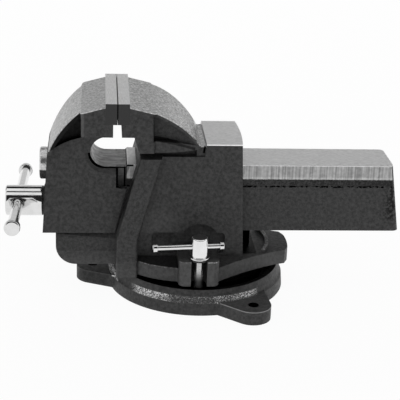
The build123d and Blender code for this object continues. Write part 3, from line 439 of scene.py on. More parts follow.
body_finish = casting_finish("enamel_on_body", body_wear)
print("body finish:", body_finish.name, len(body_finish.node_tree.nodes), "nodes")

# %% [markdown]
# ## Wear, dirt, painted light and painted shade on the sliding jaw
#
# The beam is milled on top and along a rail on each side, where the cutter's strokes stay
# visible. The front arch is ground like the rear one, and its pad's rim is bare only on its upper
# half, worn and a painted highlight at once. In the throat under the jaws the enamel is rubbed
# half away, and the throat's chamfered edge and the ear's end are painted paler as light. Black is
# painted as shade in the front arch's pocket, as shadow lines round the notch between the front
# body and the rail and along the throat's edge, and a dark dashed line runs along the rail's foot.

# %% Where the sliding jaw is bare
front_arch = ((-161.0, 265.0), (-187.5, 237.0), (-206.5, 199.0))
front_ear = ((-161.0, 265.0), (-129.7, 273.5))
pad_centre = (0, 172.0)
beam_half, beam_top = 35.2, 182.2


def jaw_iron(tree, x, side, z):
    """How bare the sliding jaw is, and how pale its iron."""
    ragged = grain(tree, 220, 3) * 1.6 + z
    rail = ragged.above(163.8) & side.above(beam_half) & x.above(-100.5)
    top = z.above(beam_top, 0.2) & x.above(-102)
    beam = (rail | top) & z.below(183.4, 0.2)
    arch = outside(front_arch, x, z) & x.below(-161) & z.above(204)
    ear = over_line(front_ear, x, z) & x.above(-161)
    # The pad's rim is bare only on its upper half, where light catches it: wear and a painted
    # highlight.
    pad_rim = reach_from(pad_centre, side, z).within(20.0, 22.3) & x.below(-207)
    pad_rim = pad_rim & ragged.above(169.5, 1)
    throat = x.above(-151) & x.below(-101.6, 0.2) & z.within(172, 200.5) & side.below(37.3)
    rubbed = grain(tree, 150, 3, stretch=(0.25, 1, 1)).spread(0.34, 0.66, 0.72, 1.28)
    throat = throat & x.spread(-143, -136, 0.62, 0.46) & rubbed
    strokes = grain(tree, 420, stretch=(1, 0.01, 0.01)).spread(0.32, 0.68, 0.27, 0.45)
    strokes = z.below(166.2, 0.8) * 0.10 + strokes
    ground = mottled(tree, 2.6) * (z.below(245, 20) * -0.08 + 0.51)
    pale = blend(z.above(199.5), 0.76, ground)
    pale = blend(side.above(beam_half) & z.below(beam_top, 0.2), pale, strokes)
    return beam | arch | ear | pad_rim | throat, pale


print("the front arch's radius:", round(circle_through(*front_arch)[1], 1), "mm")

# %% Where the sliding jaw is dirty, and where light and shade are painted on it
arch_foot = ((-205.5, 204.0), (-189.0, 214.0))
rail_end_slope = ((-100.8, 169.0), (-95.1, 182.8))
notch_front, notch_rear = -114.9, -102.0


def arch_shade(x, side, z):
    """Painted black shade in the front arch's pocket and on its sides, but not on its ground skin."""
    pocket = x.below(-162.5) & side.within(30, 42.5) & z.above(203.5)
    arch_side = x.below(-161.2) & side.above(41.5) & over_line(arch_foot, x, z, 0.0)
    arch_side = arch_side & outside(front_arch, x, z, 11)
    return (pocket | arch_side) & ~outside(front_arch, x, z)


def notch_shade(x, side, z):
    """Painted shadow lines round the notch before the rail, and painted shade on the rail's end."""
    upright_shadow_lines = x.within(notch_front, -112.2) | x.within(-104.4, notch_rear)
    upright_shadow_lines = upright_shadow_lines & z.within(152, 180)
    top_shadow_line = x.within(notch_front, notch_rear) & z.within(178.2, 179.9)
    rail_end = x.within(-101.4, -91.5) & side.above(beam_half) & z.below(182.9, 0.2)
    corner = rail_end & over_line(rail_end_slope, x, z, 0.0)
    foot = x.within(-112.2, -91.5) & side.above(30) & z.above(152) & z.below(162.5, 3)
    lines = (upright_shadow_lines | top_shadow_line) & side.above(30) | rail_end & z.above(180.3)
    return lines | (corner | foot) * 0.5


def beam_grease(tree, x, side, z):
    """A dashed line along the rail's foot, dots above it, and dirt at the beam's far end."""
    on_beam = side.above(35) & x.above(-100)
    seam = z.within(151.7, 154.1) & grain(tree, 260, 3).above(0.49, 0.03)
    dots = (grain(tree, 420, 3) - x.spread(0, 260, 0.56, 0.46)).above(0, 0.03)
    dots = dots & z.within(154.5, 163.2)
    end = grain(tree, 240, 4).above(0.48, 0.05) & x.above(258, 9) & side.above(30)
    end = end & z.above(105, 10) & z.below(152)
    return on_beam & (seam | dots * 0.5) | end * 0.7


def jaw_dirt_light_and_shade(tree, x, side, z):
    """Painted light, as paler paint, and black on the sliding jaw: dirt on the beam, else painted
    shade.
    """
    # The throat's chamfered edge is painted paler, which is painted light, with a painted shadow line
    # inside it.
    edge = side.within(37.2, 43.8, 0.1) & x.below(-101.6) & z.within(168, 202.5)
    throat_shadow_line = edge & x.below(notch_front) & (x.below(-137, 12) * -1.5 + side).below(38.7, 0.1)
    # The front ear's end is painted paler: painted light.
    lit_ear_end = x.within(-162.6, -157.4) & side.above(70) & z.above(229)
    # Black is painted as shade in the arch's pocket and round the notch; the beam's dark marks are
    # dirt.
    grease_and_shade = arch_shade(x, side, z) * 0.75 | notch_shade(x, side, z)
    grease_and_shade = grease_and_shade | beam_grease(tree, x, side, z) | throat_shadow_line
    return edge * 0.8 | lit_ear_end * 1.2, grease_and_shade


def jaw_wear(tree, x, y, z):
    """The sliding jaw's wear, dirt, painted light and painted shade, alike on both sides."""
    return *jaw_iron(tree, x, abs(y), z), *jaw_dirt_light_and_shade(tree, x, abs(y), z)


jaw_finish = casting_finish("enamel_on_jaw", jaw_wear)
print("jaw finish:", jaw_finish.name, len(jaw_finish.node_tree.nodes), "nodes")

# %% [markdown]
# ## Ground steel, plain steel, nut iron and chrome
#
# The jaw plates are surface ground, which leaves fine straight lines along their length. The
# screws and the pivot are plain turned steel. The nut is bare cast iron. The screw's head,
# handle, swivel locks and their bars are chromed, so almost all that is seen on them is what
# stands round them.


# %% Metal finishes
def metal_finish(name, tones, gloss, scale, stretch=(1, 1, 1), marks=0.2, depth=0.0001):
    """A metal whose tone and gloss vary with marks, which a stretch draws out into lines."""
    material, tree, shader = finish_of(name, Metallic=1.0)
    lines = grain(tree, scale, 3, stretch=stretch)
    feed(shader, Base_Color=lines.over(*tones), Roughness=lines.over(gloss + 0.06, gloss - 0.04))
    relief(shader, lines, marks, depth)
    return material


ground_steel = metal_finish("ground_steel", (0.65, 0.79), 0.34, 1500, (1, 0.05, 1))
plain_steel = metal_finish("plain_steel", (0.36, 0.48), 0.36, 400)
thread_steel = metal_finish("thread_steel", (0.40, 0.52), 0.30, 500)
stud_steel = metal_finish("stud_steel", (0.44, 0.54), 0.14, 500)
nut_iron = metal_finish("nut_iron", (0.16, 0.26), 0.55, 500, marks=0.5, depth=0.0005)
chrome = metal_finish("bright_chrome", (0.69, 0.76), 0.10, 60, marks=0.05)
nut_chrome = metal_finish("nut_chrome", (0.76, 0.82), 0.10, 60, marks=0.05)
black_oxide, _, _ = finish_of("black_oxide", Base_Color=grey(0.016), Roughness=0.42)
print("metal finishes:", ground_steel.name, plain_steel.name, nut_iron.name, chrome.name)

# %% [markdown]
# ## Metals that are black in part
#
# The plates' ends are blackened, and the slit between the closed plates is painted quite black,
# the painted shade of the gap. The lock studs are bright above and painted dark below, the
# painted shade of the flange's slot, and the lock nuts' tops are painted. Such a coat is laid over
# the tone that the metal's shader already has.


# %% Coats on part of a metal
def part_painted(material, tone, coat, slit=None):
    """Lay a dull coat of a dark tone over a metal where coat() gives 1.

    Where slit() gives 1 the metal is quite black: the painted shade of a narrow gap.
    """
    tree = material.node_tree
    shader = tree.nodes["Principled BSDF"]
    metal = Field(shader.inputs["Base Color"].links[0].from_socket)
    rough = Field(shader.inputs["Roughness"].links[0].from_socket)
    place = millimetres(tree)
    coated = coat(*place)
    colour, metallic = blend(coated, metal, tone), ~coated
    if slit:
        gap = slit(*place)
        colour, metallic = colour & ~gap, metallic | gap
    feed(shader, Base_Color=colour, Metallic=metallic, Roughness=rough | coated * 0.5)


plate_end, plates_meet, slit_half = 74.5, -114.0, 0.8
stud_shade_top, nut_paint_foot = 52, 104.7
# The plates' ends get a black coat, and the slit where they meet is painted black as its shade.
part_painted(ground_steel, 0.016, lambda x, y, z: abs(y).above(plate_end),
             lambda x, y, z: abs(x - plates_meet).below(slit_half))
# The stud is painted dark below: the painted shade of the flange's slot.
part_painted(stud_steel, 0.012, lambda x, y, z: z.below(stud_shade_top, 10))
part_painted(nut_chrome, 0.03, lambda x, y, z: z.above(nut_paint_foot))
print("coats on:", ground_steel.name, stud_steel.name, nut_chrome.name)

# %% [markdown]
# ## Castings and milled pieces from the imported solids
#
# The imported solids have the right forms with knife-sharp edges, and no casting has those. A
# copy of each solid is joined up, its flat faces made whole, and every edge rounded with a
# Bevel modifier. Weighted normals keep the flat faces flat between the rounded edges.


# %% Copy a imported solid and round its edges
def shade(piece):
    """Smooth shading that leaves large faces flat."""
    for face in piece.data.polygons:
        face.use_smooth = True
    weighted = piece.modifiers.new("weighted", "WEIGHTED_NORMAL")
    weighted.weight = 100
    weighted.keep_sharp = False


def settle(piece):
    """Apply a piece's modifiers, so that its mesh is what is seen."""
    graph = bpy.context.evaluated_depsgraph_get()
    mesh = bpy.data.meshes.new_from_object(piece.evaluated_get(graph))
    piece.modifiers.clear()
    piece.data = mesh
    return piece


def mesh_from(shell, name):
    """Put a finished bmesh into a new mesh."""
    mesh = bpy.data.meshes.new(name)
    shell.to_mesh(mesh)
    shell.free()
    return mesh


def rounded_copy(node, name, width):
    """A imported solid's copy, whole and with edges rounded by a width in metres."""
    same_point, flat_enough, sharp_edge = 2e-6, radians(1.0), radians(32)
    shell = bmesh.new()
    shell.from_mesh(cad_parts[node].data)
    bmesh.ops.remove_doubles(shell, verts=shell.verts, dist=same_point)
    bmesh.ops.dissolve_limit(shell, angle_limit=flat_enough, verts=shell.verts, edges=shell.edges)
    piece = placed(name, mesh_from(shell, name))
    bevel = piece.modifiers.new("edges", "BEVEL")
    bevel.width, bevel.segments = width, 2
    bevel.limit_method, bevel.angle_limit = "ANGLE", sharp_edge
    bevel.use_clamp_overlap = True
    bevel.miter_outer = "MITER_ARC"
    shade(piece)
    return settle(piece)


def hand_over(piece, body, slot, material, *nodes):
    """Give a piece its finish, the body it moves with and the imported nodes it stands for."""
    piece.data.materials.clear()
    piece.data.materials.append(material)
    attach(piece, body)
    if nodes:
        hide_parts(*nodes)
    print(f"{piece.name}: {len(piece.data.polygons)} faces, rides on {body}")


def dress(node, name, width, body, slot, material):
    """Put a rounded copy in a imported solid's place."""
    hand_over(rounded_copy(node, name, width), body, slot, material, node)


# %% The three castings
base_edge, cast_edge = 0.0012, 0.0014
dress("base_plate", "cast_base", base_edge, "base", "base_casting", base_finish)
dress("fixed_body", "cast_body", cast_edge, "upper", "body_casting", body_finish)
dress("sliding_jaw", "cast_jaw", cast_edge, "jaw", "jaw_casting", jaw_finish)

# %% Jaw plates and the nut
plate_edge, nut_edge = 0.0005, 0.001
dress("rear_jaw_plate", "rear_grip_plate", plate_edge, "upper", "jaw_steel", ground_steel)
dress("front_jaw_plate", "front_grip_plate", plate_edge, "jaw", "jaw_steel", ground_steel)
dress("spindle_nut", "long_nut", nut_edge, "upper", "nut_iron", nut_iron)

# %% [markdown]
# ## Turned pieces
#
# The screw, handle, caps, washers and lock nuts all come off a lathe. A turned piece is one
# profile, swept round an axis. The profile is drawn as distances along the axis and radii,
# its corners are eased with a short curve, and the sweep makes a clean mesh with no seam. All
# the sizes of turned pieces are in millimetres.


# %% A lathe
def eased(profile, ease, ring=False, steps=3):
    """Replace each corner of a profile by a short curve."""
    points = [Vector(p) for p in profile]
    smooth = []
    last = len(points) - 1
    for n, point in enumerate(points):
        if not ring and n in (0, last):
            smooth.append(point)
            continue
        before, after = points[n - 1], points[(n + 1) % len(points)]
        cut = min(ease, 0.45 * (before - point).length, 0.45 * (after - point).length)
        start = point + (before - point).normalized() * cut
        end = point + (after - point).normalized() * cut
        for step in range(steps + 1):
            t = step / steps
            smooth.append(start.lerp(point, t).lerp(point.lerp(end, t), t))
    return smooth


def lathe_mesh(name, profile, sides, ring):
    """Sweep a profile of (station, radius) round the Z axis. A ring's profile is closed."""
    shell = bmesh.new()
    rows = []
    for station, radius in profile:
        if radius < 1e-4:
            rows.append([shell.verts.new((0, 0, station / 1000))])
            continue
        rows.append([
            shell.verts.new((radius * cos(2 * pi * n / sides) / 1000,
                             radius * sin(2 * pi * n / sides) / 1000, station / 1000))
            for n in range(sides)
        ])
    pairs = list(zip(rows, rows[1:])) + ([(rows[-1], rows[0])] if ring else [])
    for lower, upper in pairs:
        for n in range(sides):
            m = (n + 1) % sides
            corners = [lower[n % len(lower)], lower[m % len(lower)],
                       upper[m % len(upper)], upper[n % len(upper)]]
            corners = list(dict.fromkeys(corners))
            if len(corners) > 2:
                shell.faces.new(corners)
    bmesh.ops.recalc_face_normals(shell, faces=shell.faces)
    mesh = mesh_from(shell, name)
    for face in mesh.polygons:
        face.use_smooth = True
    return mesh


def turned(name, profile, place, ease=0.6, sides=64, ring=False):
    """A turned piece, with its place put into its mesh."""
    mesh = lathe_mesh(name, eased(profile, ease, ring), sides, ring)
    mesh.transform(place)
    piece = placed(name, mesh)
    shade(piece)
    return settle(piece)


def along(direction, point):
    """The place of a lathe's axis: Z turned to a direction, at a point."""
    facing = Vector(direction).to_track_quat("Z", "Y").to_matrix().to_4x4()
    return Matrix.Translation(Vector(point) / 1000) @ facing


print("lathe ready")


# %% Profiles that repeat, and a drill
def rod(start, stop, radius):
    """A solid bar's profile."""
    return [(start, 0), (start, radius), (stop, radius), (stop, 0)]


def ring(start, stop, bore, radius):
    """The closed profile of a washer, a collar or a cap's wall."""
    return [(start, bore), (stop, bore), (stop, radius), (start, radius)]


def drilled(piece, bit):
    """Cut the bit's shape out of a piece, and put the bit away."""
    cut = piece.modifiers.new("hole", "BOOLEAN")
    cut.object, cut.solver = bit, "EXACT"
    settle(piece)
    bpy.data.objects.remove(bit)
    return piece


print("a washer's profile:", ring(0, 2, 6, 12))

# %% [markdown]
# ## The screw
#
# Its head is a chromed drum with a cross hole that the handle slides through. Behind it come
# the plain neck and a rolled thread of 6 mm pitch. The drum and the neck are turned in one
# piece, and the cross hole is cut with a Boolean, as it is drilled in the shop. The thread
# follows in a step of its own.

# %% Sizes of the screw
screw_height, screw_radius = 117.0, 13.0
head_front, head_rear, head_radius = -265.0, -214.5, 21.0
face_chamfer, shoulder_chamfer, tip_chamfer = 1.6, 0.8, 1.5
handle_station, handle_radius, handle_tilt = -247.8, 7.25, radians(-5.5)
thread_start, thread_end, screw_end = -180.0, 104.0, 112.0
thread_pitch, thread_depth, thread_run = 6.0, 2.2, 3.0
mouth_radius, mouth_throat, mouth_start = 14.0, 11.0, 22.5
hole_half, hole_reach, hole_clearance = 18.6, 30.0, 0.1

core_radius = screw_radius - thread_depth
tip_radius = screw_radius - tip_chamfer
hole_radius = handle_radius + hole_clearance
handle_place = Vector((handle_station, 0, screw_height))
handle_way = Vector((0, cos(handle_tilt), sin(handle_tilt)))
screw_line = along((1, 0, 0), (0, 0, screw_height))
print("the thread's core is", 2 * core_radius, "mm thick")

# %% Turn the head and neck, and drill the cross hole
drum = turned("screw_head", [
    (head_front, 0), (head_front, head_radius - face_chamfer),
    (head_front + face_chamfer, head_radius), (head_rear - shoulder_chamfer, head_radius),
    (head_rear, head_radius - shoulder_chamfer), (head_rear, screw_radius),
    (thread_start, screw_radius), (thread_start + thread_run, core_radius),
    (thread_end, core_radius), (thread_end + thread_run, tip_radius),
    (screw_end - tip_chamfer, tip_radius), (screw_end, tip_radius - tip_chamfer), (screw_end, 0),
], screw_line, 0.5, 128)
flared_half = [(hole_half, hole_radius), (mouth_start, mouth_throat), (hole_reach, mouth_radius),
               (hole_reach, 0)]
drill = turned("drill", [(-reach, radius) for reach, radius in reversed(flared_half)] + flared_half,
               along(handle_way, handle_place), 1.2)
hand_over(drilled(drum, drill), "screw", "bright_chrome", chrome, "spindle")

# %% [markdown]
# ## Geometry Nodes for what repeats
#
# A thread is one ridge carried along a spiral, and the screws of a jaw plate are one screw set
# out twice. Both are small trees: the sizes that a machinist would ask for come in by name, and
# real geometry goes out in its finish, because the export keeps no instances.


# %% Start, end and run a tree
def new_tree(name, **inputs):
    """An empty Geometry Nodes tree, and the sockets of its named inputs."""
    tree = bpy.data.node_groups.new(name, "GeometryNodeTree")
    for label, kind in inputs.items():
        tree.interface.new_socket(label, in_out="INPUT", socket_type="NodeSocket" + kind)
    tree.interface.new_socket("Mesh", in_out="OUTPUT", socket_type="NodeSocketGeometry")
    return tree, tree.nodes.new("NodeGroupInput").outputs


def end_tree(tree, shape, finish):
    """Make a tree's shape real, coat it and send it out."""
    whole = put(tree, "RealizeInstances", {0: shape})
    coated = put(tree, "SetMaterial", {"Geometry": whole, "Material": finish})
    tree.links.new(coated.outputs[0], tree.nodes.new("NodeGroupOutput").inputs[0])
    return tree


def grown(name, tree, **sizes):
    """Run a Geometry Nodes tree on an empty mesh with its inputs set, and keep the result."""
    piece = placed(name, bpy.data.meshes.new(name))
    modifier = piece.modifiers.new(name, "NODES")
    modifier.node_group = tree
    for item in tree.interface.items_tree:
        if item.in_out == "INPUT" and item.name in sizes:
            modifier[item.identifier] = sizes[item.name]
    return settle(piece)


print("tree helpers ready")


# %% Sweep the thread
def thread_tree(name):
    """Geometry Nodes: a thread's ridge carried along a spiral."""
    tree, sizes = new_tree(name, Turns="Float", Radius="Float", Length="Float", Foot="Float",
                           Crest="Float", Depth="Float", Finish="Material")
    spiral = put(tree, "CurveSpiral", {
        "Resolution": 40, "Rotations": sizes["Turns"], "Start Radius": sizes["Radius"],
        "End Radius": sizes["Radius"], "Height": sizes["Length"]})
    ridge = put(tree, "CurvePrimitiveQuadrilateral", {
        "Bottom Width": sizes["Foot"], "Top Width": sizes["Crest"], "Height": sizes["Depth"],
        "Offset": 0.0}, mode="TRAPEZOID")
    outwards = put(tree, "Transform", {0: ridge, "Rotation": (0, 0, -pi / 2)})
    level = put(tree, "SetCurveNormal", {"Curve": spiral}, mode="Z_UP")
    swept = put(tree, "CurveToMesh", {"Curve": level, "Profile Curve": outwards, "Fill Caps": True})
    return end_tree(tree, swept, sizes["Finish"])


ridge_foot, ridge_crest, ridge_depth, ridge_middle = 4.2, 1.89, 2.1, 11.9
plain_end = 4.0
turns = (thread_end - thread_start - plain_end) / thread_pitch
thread = grown("screw_thread", thread_tree("thread_sweep"), Turns=turns,
               Radius=ridge_middle / 1000, Length=turns * thread_pitch / 1000,
               Foot=ridge_foot / 1000, Crest=ridge_crest / 1000, Depth=ridge_depth / 1000,
               Finish=thread_steel)
reaches = [1000 * Vector(v.co[:2]).length for v in thread.data.vertices]
print("thread's root and crest, mm from its axis:", round(min(reaches), 2), round(max(reaches), 2))

# %% Put the thread on the screw
thread.data.transform(along((1, 0, 0), (thread_start + thread_run, 0, screw_height)))
shade(thread)
settle(thread)
hand_over(thread, "screw", "bright_chrome", thread_steel)

# %% [markdown]
# ## Washer, collar and pin on the screw
#
# A hardened washer takes the screw's thrust on the front casting. Inside the casting a collar,
# pinned to the screw, pulls the jaw open again.

# %% Turn them
washer_front, washer_rear, washer_bore, washer_radius = -214.2, -212.0, 13.2, 20.5
collar_front, collar_length, collar_radius = -195.2, 8.0, 19.0
pin_half, pin_radius = 18.5, 2.5
washer = turned("thrust_ring", ring(washer_front, washer_rear, washer_bore, washer_radius),
                screw_line, 0.4, 96, ring=True)
hand_over(washer, "jaw", "plain_steel", black_oxide, "thrust_washer")
collar = turned("screw_collar",
                ring(collar_front, collar_front + collar_length, screw_radius, collar_radius),
                screw_line, 0.6, 96, ring=True)
hand_over(collar, "screw", "bright_chrome", plain_steel, "spindle_collar")
pin_place = (collar_front + collar_length / 2, 0, screw_height)
pin = turned("collar_dowel", rod(-pin_half, pin_half, pin_radius), along(handle_way, pin_place),
             0.5, 32)
hand_over(pin, "screw", "plain_steel", plain_steel, "collar_pin")

# %% [markdown]
# ## The handle
#
# A plain chromed bar that slides through the head until one of its caps stops it. The caps are
# small domed cups pressed over the bar's ends. Gravity and use leave it off its middle and a
# few degrees off level.

# %% Turn the bar and its two caps
handle_middle, handle_half = 19.0, 151.0
cap_radius, cap_length, cap_grip, cap_dome = 10.5, 10.5, 6.0, 2.0
rim_ease, dome_ease, dome_drop = 0.8, 0.7, 2.2
handle_bar = turned("handle_rod", rod(handle_middle - handle_half, handle_middle + handle_half,
                                      handle_radius), along(handle_way, handle_place))
hand_over(handle_bar, "handle", "bright_chrome", chrome, "handle_bar")

cap_top = cap_length - cap_grip
cup = [(-cap_grip, handle_radius), (-cap_grip, cap_radius - rim_ease), (1 - cap_grip, cap_radius),
       (cap_top - cap_dome, cap_radius), (cap_top - dome_ease, cap_radius - dome_ease),
       (cap_top, cap_radius - dome_drop), (cap_top, 0)]
for side, which in ((-1, "near"), (1, "far")):
    end = handle_place + handle_way * (handle_middle + side * handle_half)
    cap = turned("handle_cup_" + which, cup, along(handle_way * side, end), 0.9)
    hand_over(cap, "handle", "bright_chrome", chrome, "handle_cap_" + which)

# %% [markdown]
# ## The swivel locks
#
# On each side a T-headed stud rises out of the base's ring slot through the open notch in the
# foot flange. A tall round nut with a cross bar clamps the flange down. The nut is turned and
# then drilled across for its bar, like the screw's head.

# %% Sizes of a lock
lock_x, stud_line = -4.3, 102.0
lock_washer_foot, lock_washer_radius = 72.5, 12.0
nut_foot, nut_top, nut_bore_top, stud_bore = 75.5, 105.0, 86.0, 6.1
flange_radius, flange_height, groove_radius, groove_height = 13.5, 2.2, 10.0, 1.2
nut_radius, nut_chamfer, flange_ease = 11.2, 1.5, 0.5
bar_height, bar_half, bar_middle, bar_turn = 91.5, 44.5, -14.8, radians(5)
bar_radius, bar_hole_radius, bar_hole_half = 3.8, 3.9, 20.0
knob_radius, knob_length, knob_grip = 6.0, 5.8, 3.0
stud_edge = 0.0008

groove_foot = nut_foot + flange_height
groove_top = groove_foot + groove_height
lock_nut_profile = [
    (nut_foot, stud_bore), (nut_foot, flange_radius - flange_ease),
    (nut_foot + flange_height / 2, flange_radius), (groove_foot, flange_radius - flange_ease),
    (groove_foot, groove_radius), (groove_top, groove_radius), (groove_top, nut_radius),
    (nut_top - nut_chamfer, nut_radius), (nut_top, nut_radius - nut_chamfer), (nut_top, 0),
    (nut_bore_top, 0), (nut_bore_top, stud_bore),
]
print("a lock's bar is", 2 * bar_half, "mm long")


# %% Turn one lock on each side
def knob_pair(name, place):
    """The two caps on a lock's bar, as one piece."""
    shell = bmesh.new()
    for end in (-1, 1):
        start = bar_middle + end * (bar_half - knob_grip)
        knob = turned("knob", ring(start, start + end * knob_length, bar_radius, knob_radius),
                      place, 1.0, 48, ring=True)
        shell.from_mesh(knob.data)
        bpy.data.objects.remove(knob)
    return placed(name, mesh_from(shell, name))


for side, which in ((-1, "near"), (1, "far")):
    upright = along((0, 0, 1), (lock_x, side * stud_line, 0))
    bar_way = Vector((cos(bar_turn), sin(bar_turn) * -side, 0))
    bar_line = along(bar_way, (lock_x, side * stud_line, bar_height))
    dress("lock_stud_" + which, "swivel_stud_" + which, stud_edge, "upper", "bright_chrome",
          stud_steel)
    washer = turned("swivel_washer_" + which,
                    ring(lock_washer_foot, nut_foot, stud_bore, lock_washer_radius),
                    upright, 0.4, ring=True)
    hand_over(washer, "upper", "bright_chrome", black_oxide, "lock_washer_" + which)
    nut = turned("swivel_nut_" + which, lock_nut_profile, upright, 0.5, 96, ring=True)
    bit = turned("bit", rod(-bar_hole_half, bar_hole_half, bar_hole_radius), bar_line, 0.1, 48)
    hand_over(drilled(nut, bit), which + "_lock_nut", "bright_chrome", nut_chrome,
              "lock_nut_" + which)
    lock_bar = turned("swivel_bar_" + which, rod(bar_middle - bar_half, bar_middle + bar_half,
                                                 bar_radius), bar_line, 0.4, 48)
    hand_over(lock_bar, which + "_lock_bar", "bright_chrome", chrome, "lock_bar_" + which)
    hand_over(knob_pair("swivel_knobs_" + which, bar_line), which + "_lock_bar", "bright_chrome",
              chrome, "lock_bar_caps_" + which)

# %% [markdown]
# ## The pivot under the base
#
# The vise turns on a stud screwed up into the body, held under the base by a washer and a nut.

# %% Turn the stud and washer, and round the nut
post_foot, post_top, post_radius, post_chamfer = 2.7, 66.5, 8.0, 1.2
disc_foot, disc_top, disc_bore, disc_radius = 10.7, 13.7, 8.05, 17.0
hexagon_edge = 0.0006
pivot_line = along((0, 0, 1), (0, 0, 0))
post = turned("pivot_post", [
    (post_foot, 0), (post_foot, post_radius - post_chamfer),
    (post_foot + post_chamfer, post_radius), (post_top, post_radius), (post_top, 0),
], pivot_line, 0.4)
hand_over(post, "upper", "plain_steel", plain_steel, "pivot_bolt")
disc = turned("pivot_disc", ring(disc_foot, disc_top, disc_bore, disc_radius), pivot_line, 0.4,
              ring=True)
hand_over(disc, "upper", "plain_steel", plain_steel, "pivot_washer")
dress("pivot_nut", "pivot_hexagon", hexagon_edge, "upper", "plain_steel", plain_steel)

# %% [markdown]
# ## Screws in rows
#
# Two screws hold each jaw plate and two bolts hold the nut. Each kind is made once, and a
# Geometry Nodes tree sets it out in a row, the way a drilling plan does: how many, the first
# place and the step to the next.


# %% The row tree
def row_tree(name):
    """Geometry Nodes: one fastener set out in a straight row."""
    tree, sizes = new_tree(name, Fastener="Object", Count="Int", First="Vector", Step="Vector",
                           Finish="Material")
    line = put(tree, "MeshLine", {"Count": sizes["Count"], "Start Location": sizes["First"],
                                  "Offset": sizes["Step"]})
    pattern = put(tree, "ObjectInfo", {"Object": sizes["Fastener"]}).outputs["Geometry"]
    row = put(tree, "InstanceOnPoints", {"Points": line, "Instance": pattern})
    return end_tree(tree, row, sizes["Finish"])


fastener_row = row_tree("fastener_row")
print("row tree has", len(fastener_row.nodes), "nodes")

# %% Set out the plate screws
bolt_head, bolt_head_length, shank, shank_length = 6.5, 8.0, 4.0, 18.0
head_ease, tip_ease, key_radius = 0.6, 1.0, 3.45
screw_z, screw_sink, screw_spacing = 264, 1.2, 90
tip = bolt_head_length + shank_length
upwards = Matrix.Identity(4)
plate_screw = turned("plate_screw", [
    (0, 0), (0, bolt_head - head_ease), (head_ease, bolt_head), (bolt_head_length, bolt_head),
    (bolt_head_length, shank), (tip - tip_ease, shank), (tip, shank - tip_ease), (tip, 0),
], upwards, 0.3, 48)
drilled(plate_screw, turned("key", rod(-1, bolt_head_length / 2, key_radius), upwards, 0.01, 6))
for side, which, body in ((1, "rear", "upper"), (-1, "front", "jaw")):
    first = Vector((plates_meet + side * screw_sink, -screw_spacing / 2, screw_z)) / 1000
    facing = along((side, 0, 0), (0, 0, 0))
    plate_screw.data.transform(facing)
    pair = grown(which + "_plate_screw_pair", fastener_row, Fastener=plate_screw, Count=2,
                 First=tuple(first), Step=(0, screw_spacing / 1000, 0), Finish=plain_steel)
    plate_screw.data.transform(facing.inverted())
    hand_over(pair, body, "plain_steel", plain_steel, which + "_plate_screws")
bpy.data.objects.remove(plate_screw)

# %% Set out the nut's bolts
bolt_spacing, bolt_edge = 78, 0.0005
nut_bolt = rounded_copy("nut_bolts", "nut_bolt", bolt_edge)
shell = bmesh.new()
shell.from_mesh(nut_bolt.data)
middle = sum((v.co.x for v in shell.verts), 0.0) / len(shell.verts)
bmesh.ops.delete(shell, geom=[v for v in shell.verts if v.co.x > middle], context="VERTS")
first_x = (max(v.co.x for v in shell.verts) + min(v.co.x for v in shell.verts)) / 2
bmesh.ops.translate(shell, verts=shell.verts, vec=(-first_x, 0, 0))
shell.to_mesh(nut_bolt.data)
shell.free()
bolts = grown("nut_bolt_pair", fastener_row, Fastener=nut_bolt, Count=2, First=(first_x, 0, 0),
              Step=(bolt_spacing / 1000, 0, 0), Finish=plain_steel)
bpy.data.objects.remove(nut_bolt)
hand_over(bolts, "upper", "plain_steel", plain_steel, "nut_bolts")

# %% [markdown]
# ## Floor, lamps, and dark and pale glowing cards
#
# The vise stands on a white sweep in a white room, lit by broad soft lamps, one behind and above
# and one in front, which no reflection sees. Chrome shows its surroundings, so a photographer
# hangs dark cards beside a white room to give it edges. The cards here glow and are seen by
# reflections only, and a pale card low behind the vise paints the sheen on every upward face:
# a painted reflection.


# %% The white floor and the room
def looked_at(tree):
    """1 where the camera, a mirror or a glass looks, and 0 for soft light."""
    rays = put(tree, "LightPath").outputs
    return Field(rays["Is Camera Ray"]) | rays["Is Glossy Ray"] | rays["Is Transmission Ray"]


def white_when_seen(tree, soft, kind, share=1.0):
    """A shader that is white to the eye, and soft to the light that falls on the vise."""
    white = put(tree, kind, {"Color": grey(1), "Strength": 1.0})
    return put(tree, "MixShader", {0: looked_at(tree) * share, 1: soft, 2: white}).outputs[0]


world = bpy.data.worlds.new("white_room")
bpy.context.scene.world = world
world.use_nodes = True
room = world.node_tree
daylight = room.nodes["Background"]
daylight.inputs["Color"].default_value = grey(1)
daylight.inputs["Strength"].default_value = 0.75
room.links.new(white_when_seen(room, daylight, "Background"),
               room.nodes["World Output"].inputs["Surface"])

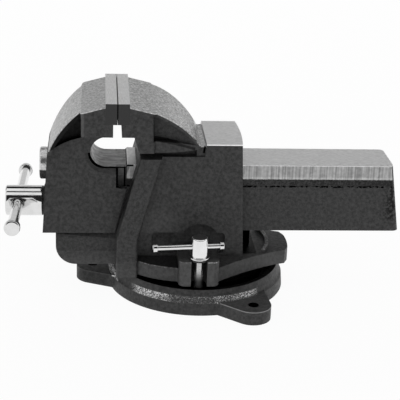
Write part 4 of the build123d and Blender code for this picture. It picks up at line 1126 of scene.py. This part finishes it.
floor_half = 9
floor_mesh = bpy.data.meshes.new("floor")
floor_mesh.from_pydata([(floor_half * x, floor_half * y, 0)
                        for x, y in ((-1, -1), (1, -1), (1, 1), (-1, 1))], [], [(0, 1, 2, 3)])
floor = placed("floor", floor_mesh)
floor_paint, floor_tree, floor_shader = finish_of(
    "white_floor", Base_Color=grey(0.85), Roughness=0.9, Specular_IOR_Level=0.0)
floor_tree.links.new(white_when_seen(floor_tree, floor_shader, "Emission", 0.94),
                     floor_tree.nodes["Material Output"].inputs["Surface"])
floor.data.materials.append(floor_paint)
print("floor and room are white")


# %% Lamps
def lamp(name, place, size, radiance):
    """A broad rectangular lamp aimed at the vise, given by its brightness and not its watts."""
    data = bpy.data.lights.new(name, "AREA")
    data.shape = "RECTANGLE"
    data.size, data.size_y = size
    data.energy = radiance * pi * size[0] * size[1]
    light = placed(name, data)
    aim = Vector((0, 0, 0.12)) - Vector(place)
    light.matrix_world = Matrix.Translation(place) @ aim.to_track_quat("-Z", "Y").to_matrix().to_4x4()
    light.visible_camera = light.visible_glossy = False
    return light


back_lamp = lamp("back_lamp", (0.0, 4.2, 2.0), (7.0, 2.6), 1.0)
front_lamp = lamp("front_lamp", (-1.5, -3.4, 3.0), (3.0, 2.0), 0.9)
print("lamps:", back_lamp.name, front_lamp.name)


# %% Cards for the metal to mirror
def card(name, low, high, level):
    """A glowing arc of card between two heights in degrees, from the horizon in front, over the top.
    """
    reach, half, centre, steps = 5.0, 6.0, 0.117, 6
    corners, faces = [], []
    for step in range(steps + 1):
        lift = radians(low + (high - low) * step / steps)
        for x in (-half, half):
            corners.append((x, -reach * cos(lift), centre + reach * sin(lift)))
    for step in range(steps):
        faces.append((2 * step, 2 * step + 1, 2 * step + 3, 2 * step + 2))
    mesh = bpy.data.meshes.new(name)
    mesh.from_pydata(corners, [], faces)
    piece = placed(name, mesh)
    material, tree, _ = finish_of(name)
    glow = put(tree, "Emission", {"Color": grey(1), "Strength": level})
    tree.links.new(glow.outputs[0], tree.nodes["Material Output"].inputs["Surface"])
    piece.data.materials.append(material)
    piece.visible_camera = piece.visible_diffuse = piece.visible_shadow = False
    piece.visible_transmission = False
    return piece


cards = [
    card("front_card", 10, 59, 0.02),
    card("top_card", 81, 93, 0.08),
    card("back_card", 119, 145, 0.02),
    # The pale low card behind paints the sheen on every upward face: a painted reflection.
    card("low_back_card", 145, 178, 0.66),
]
print("cards:", [c.name for c in cards])
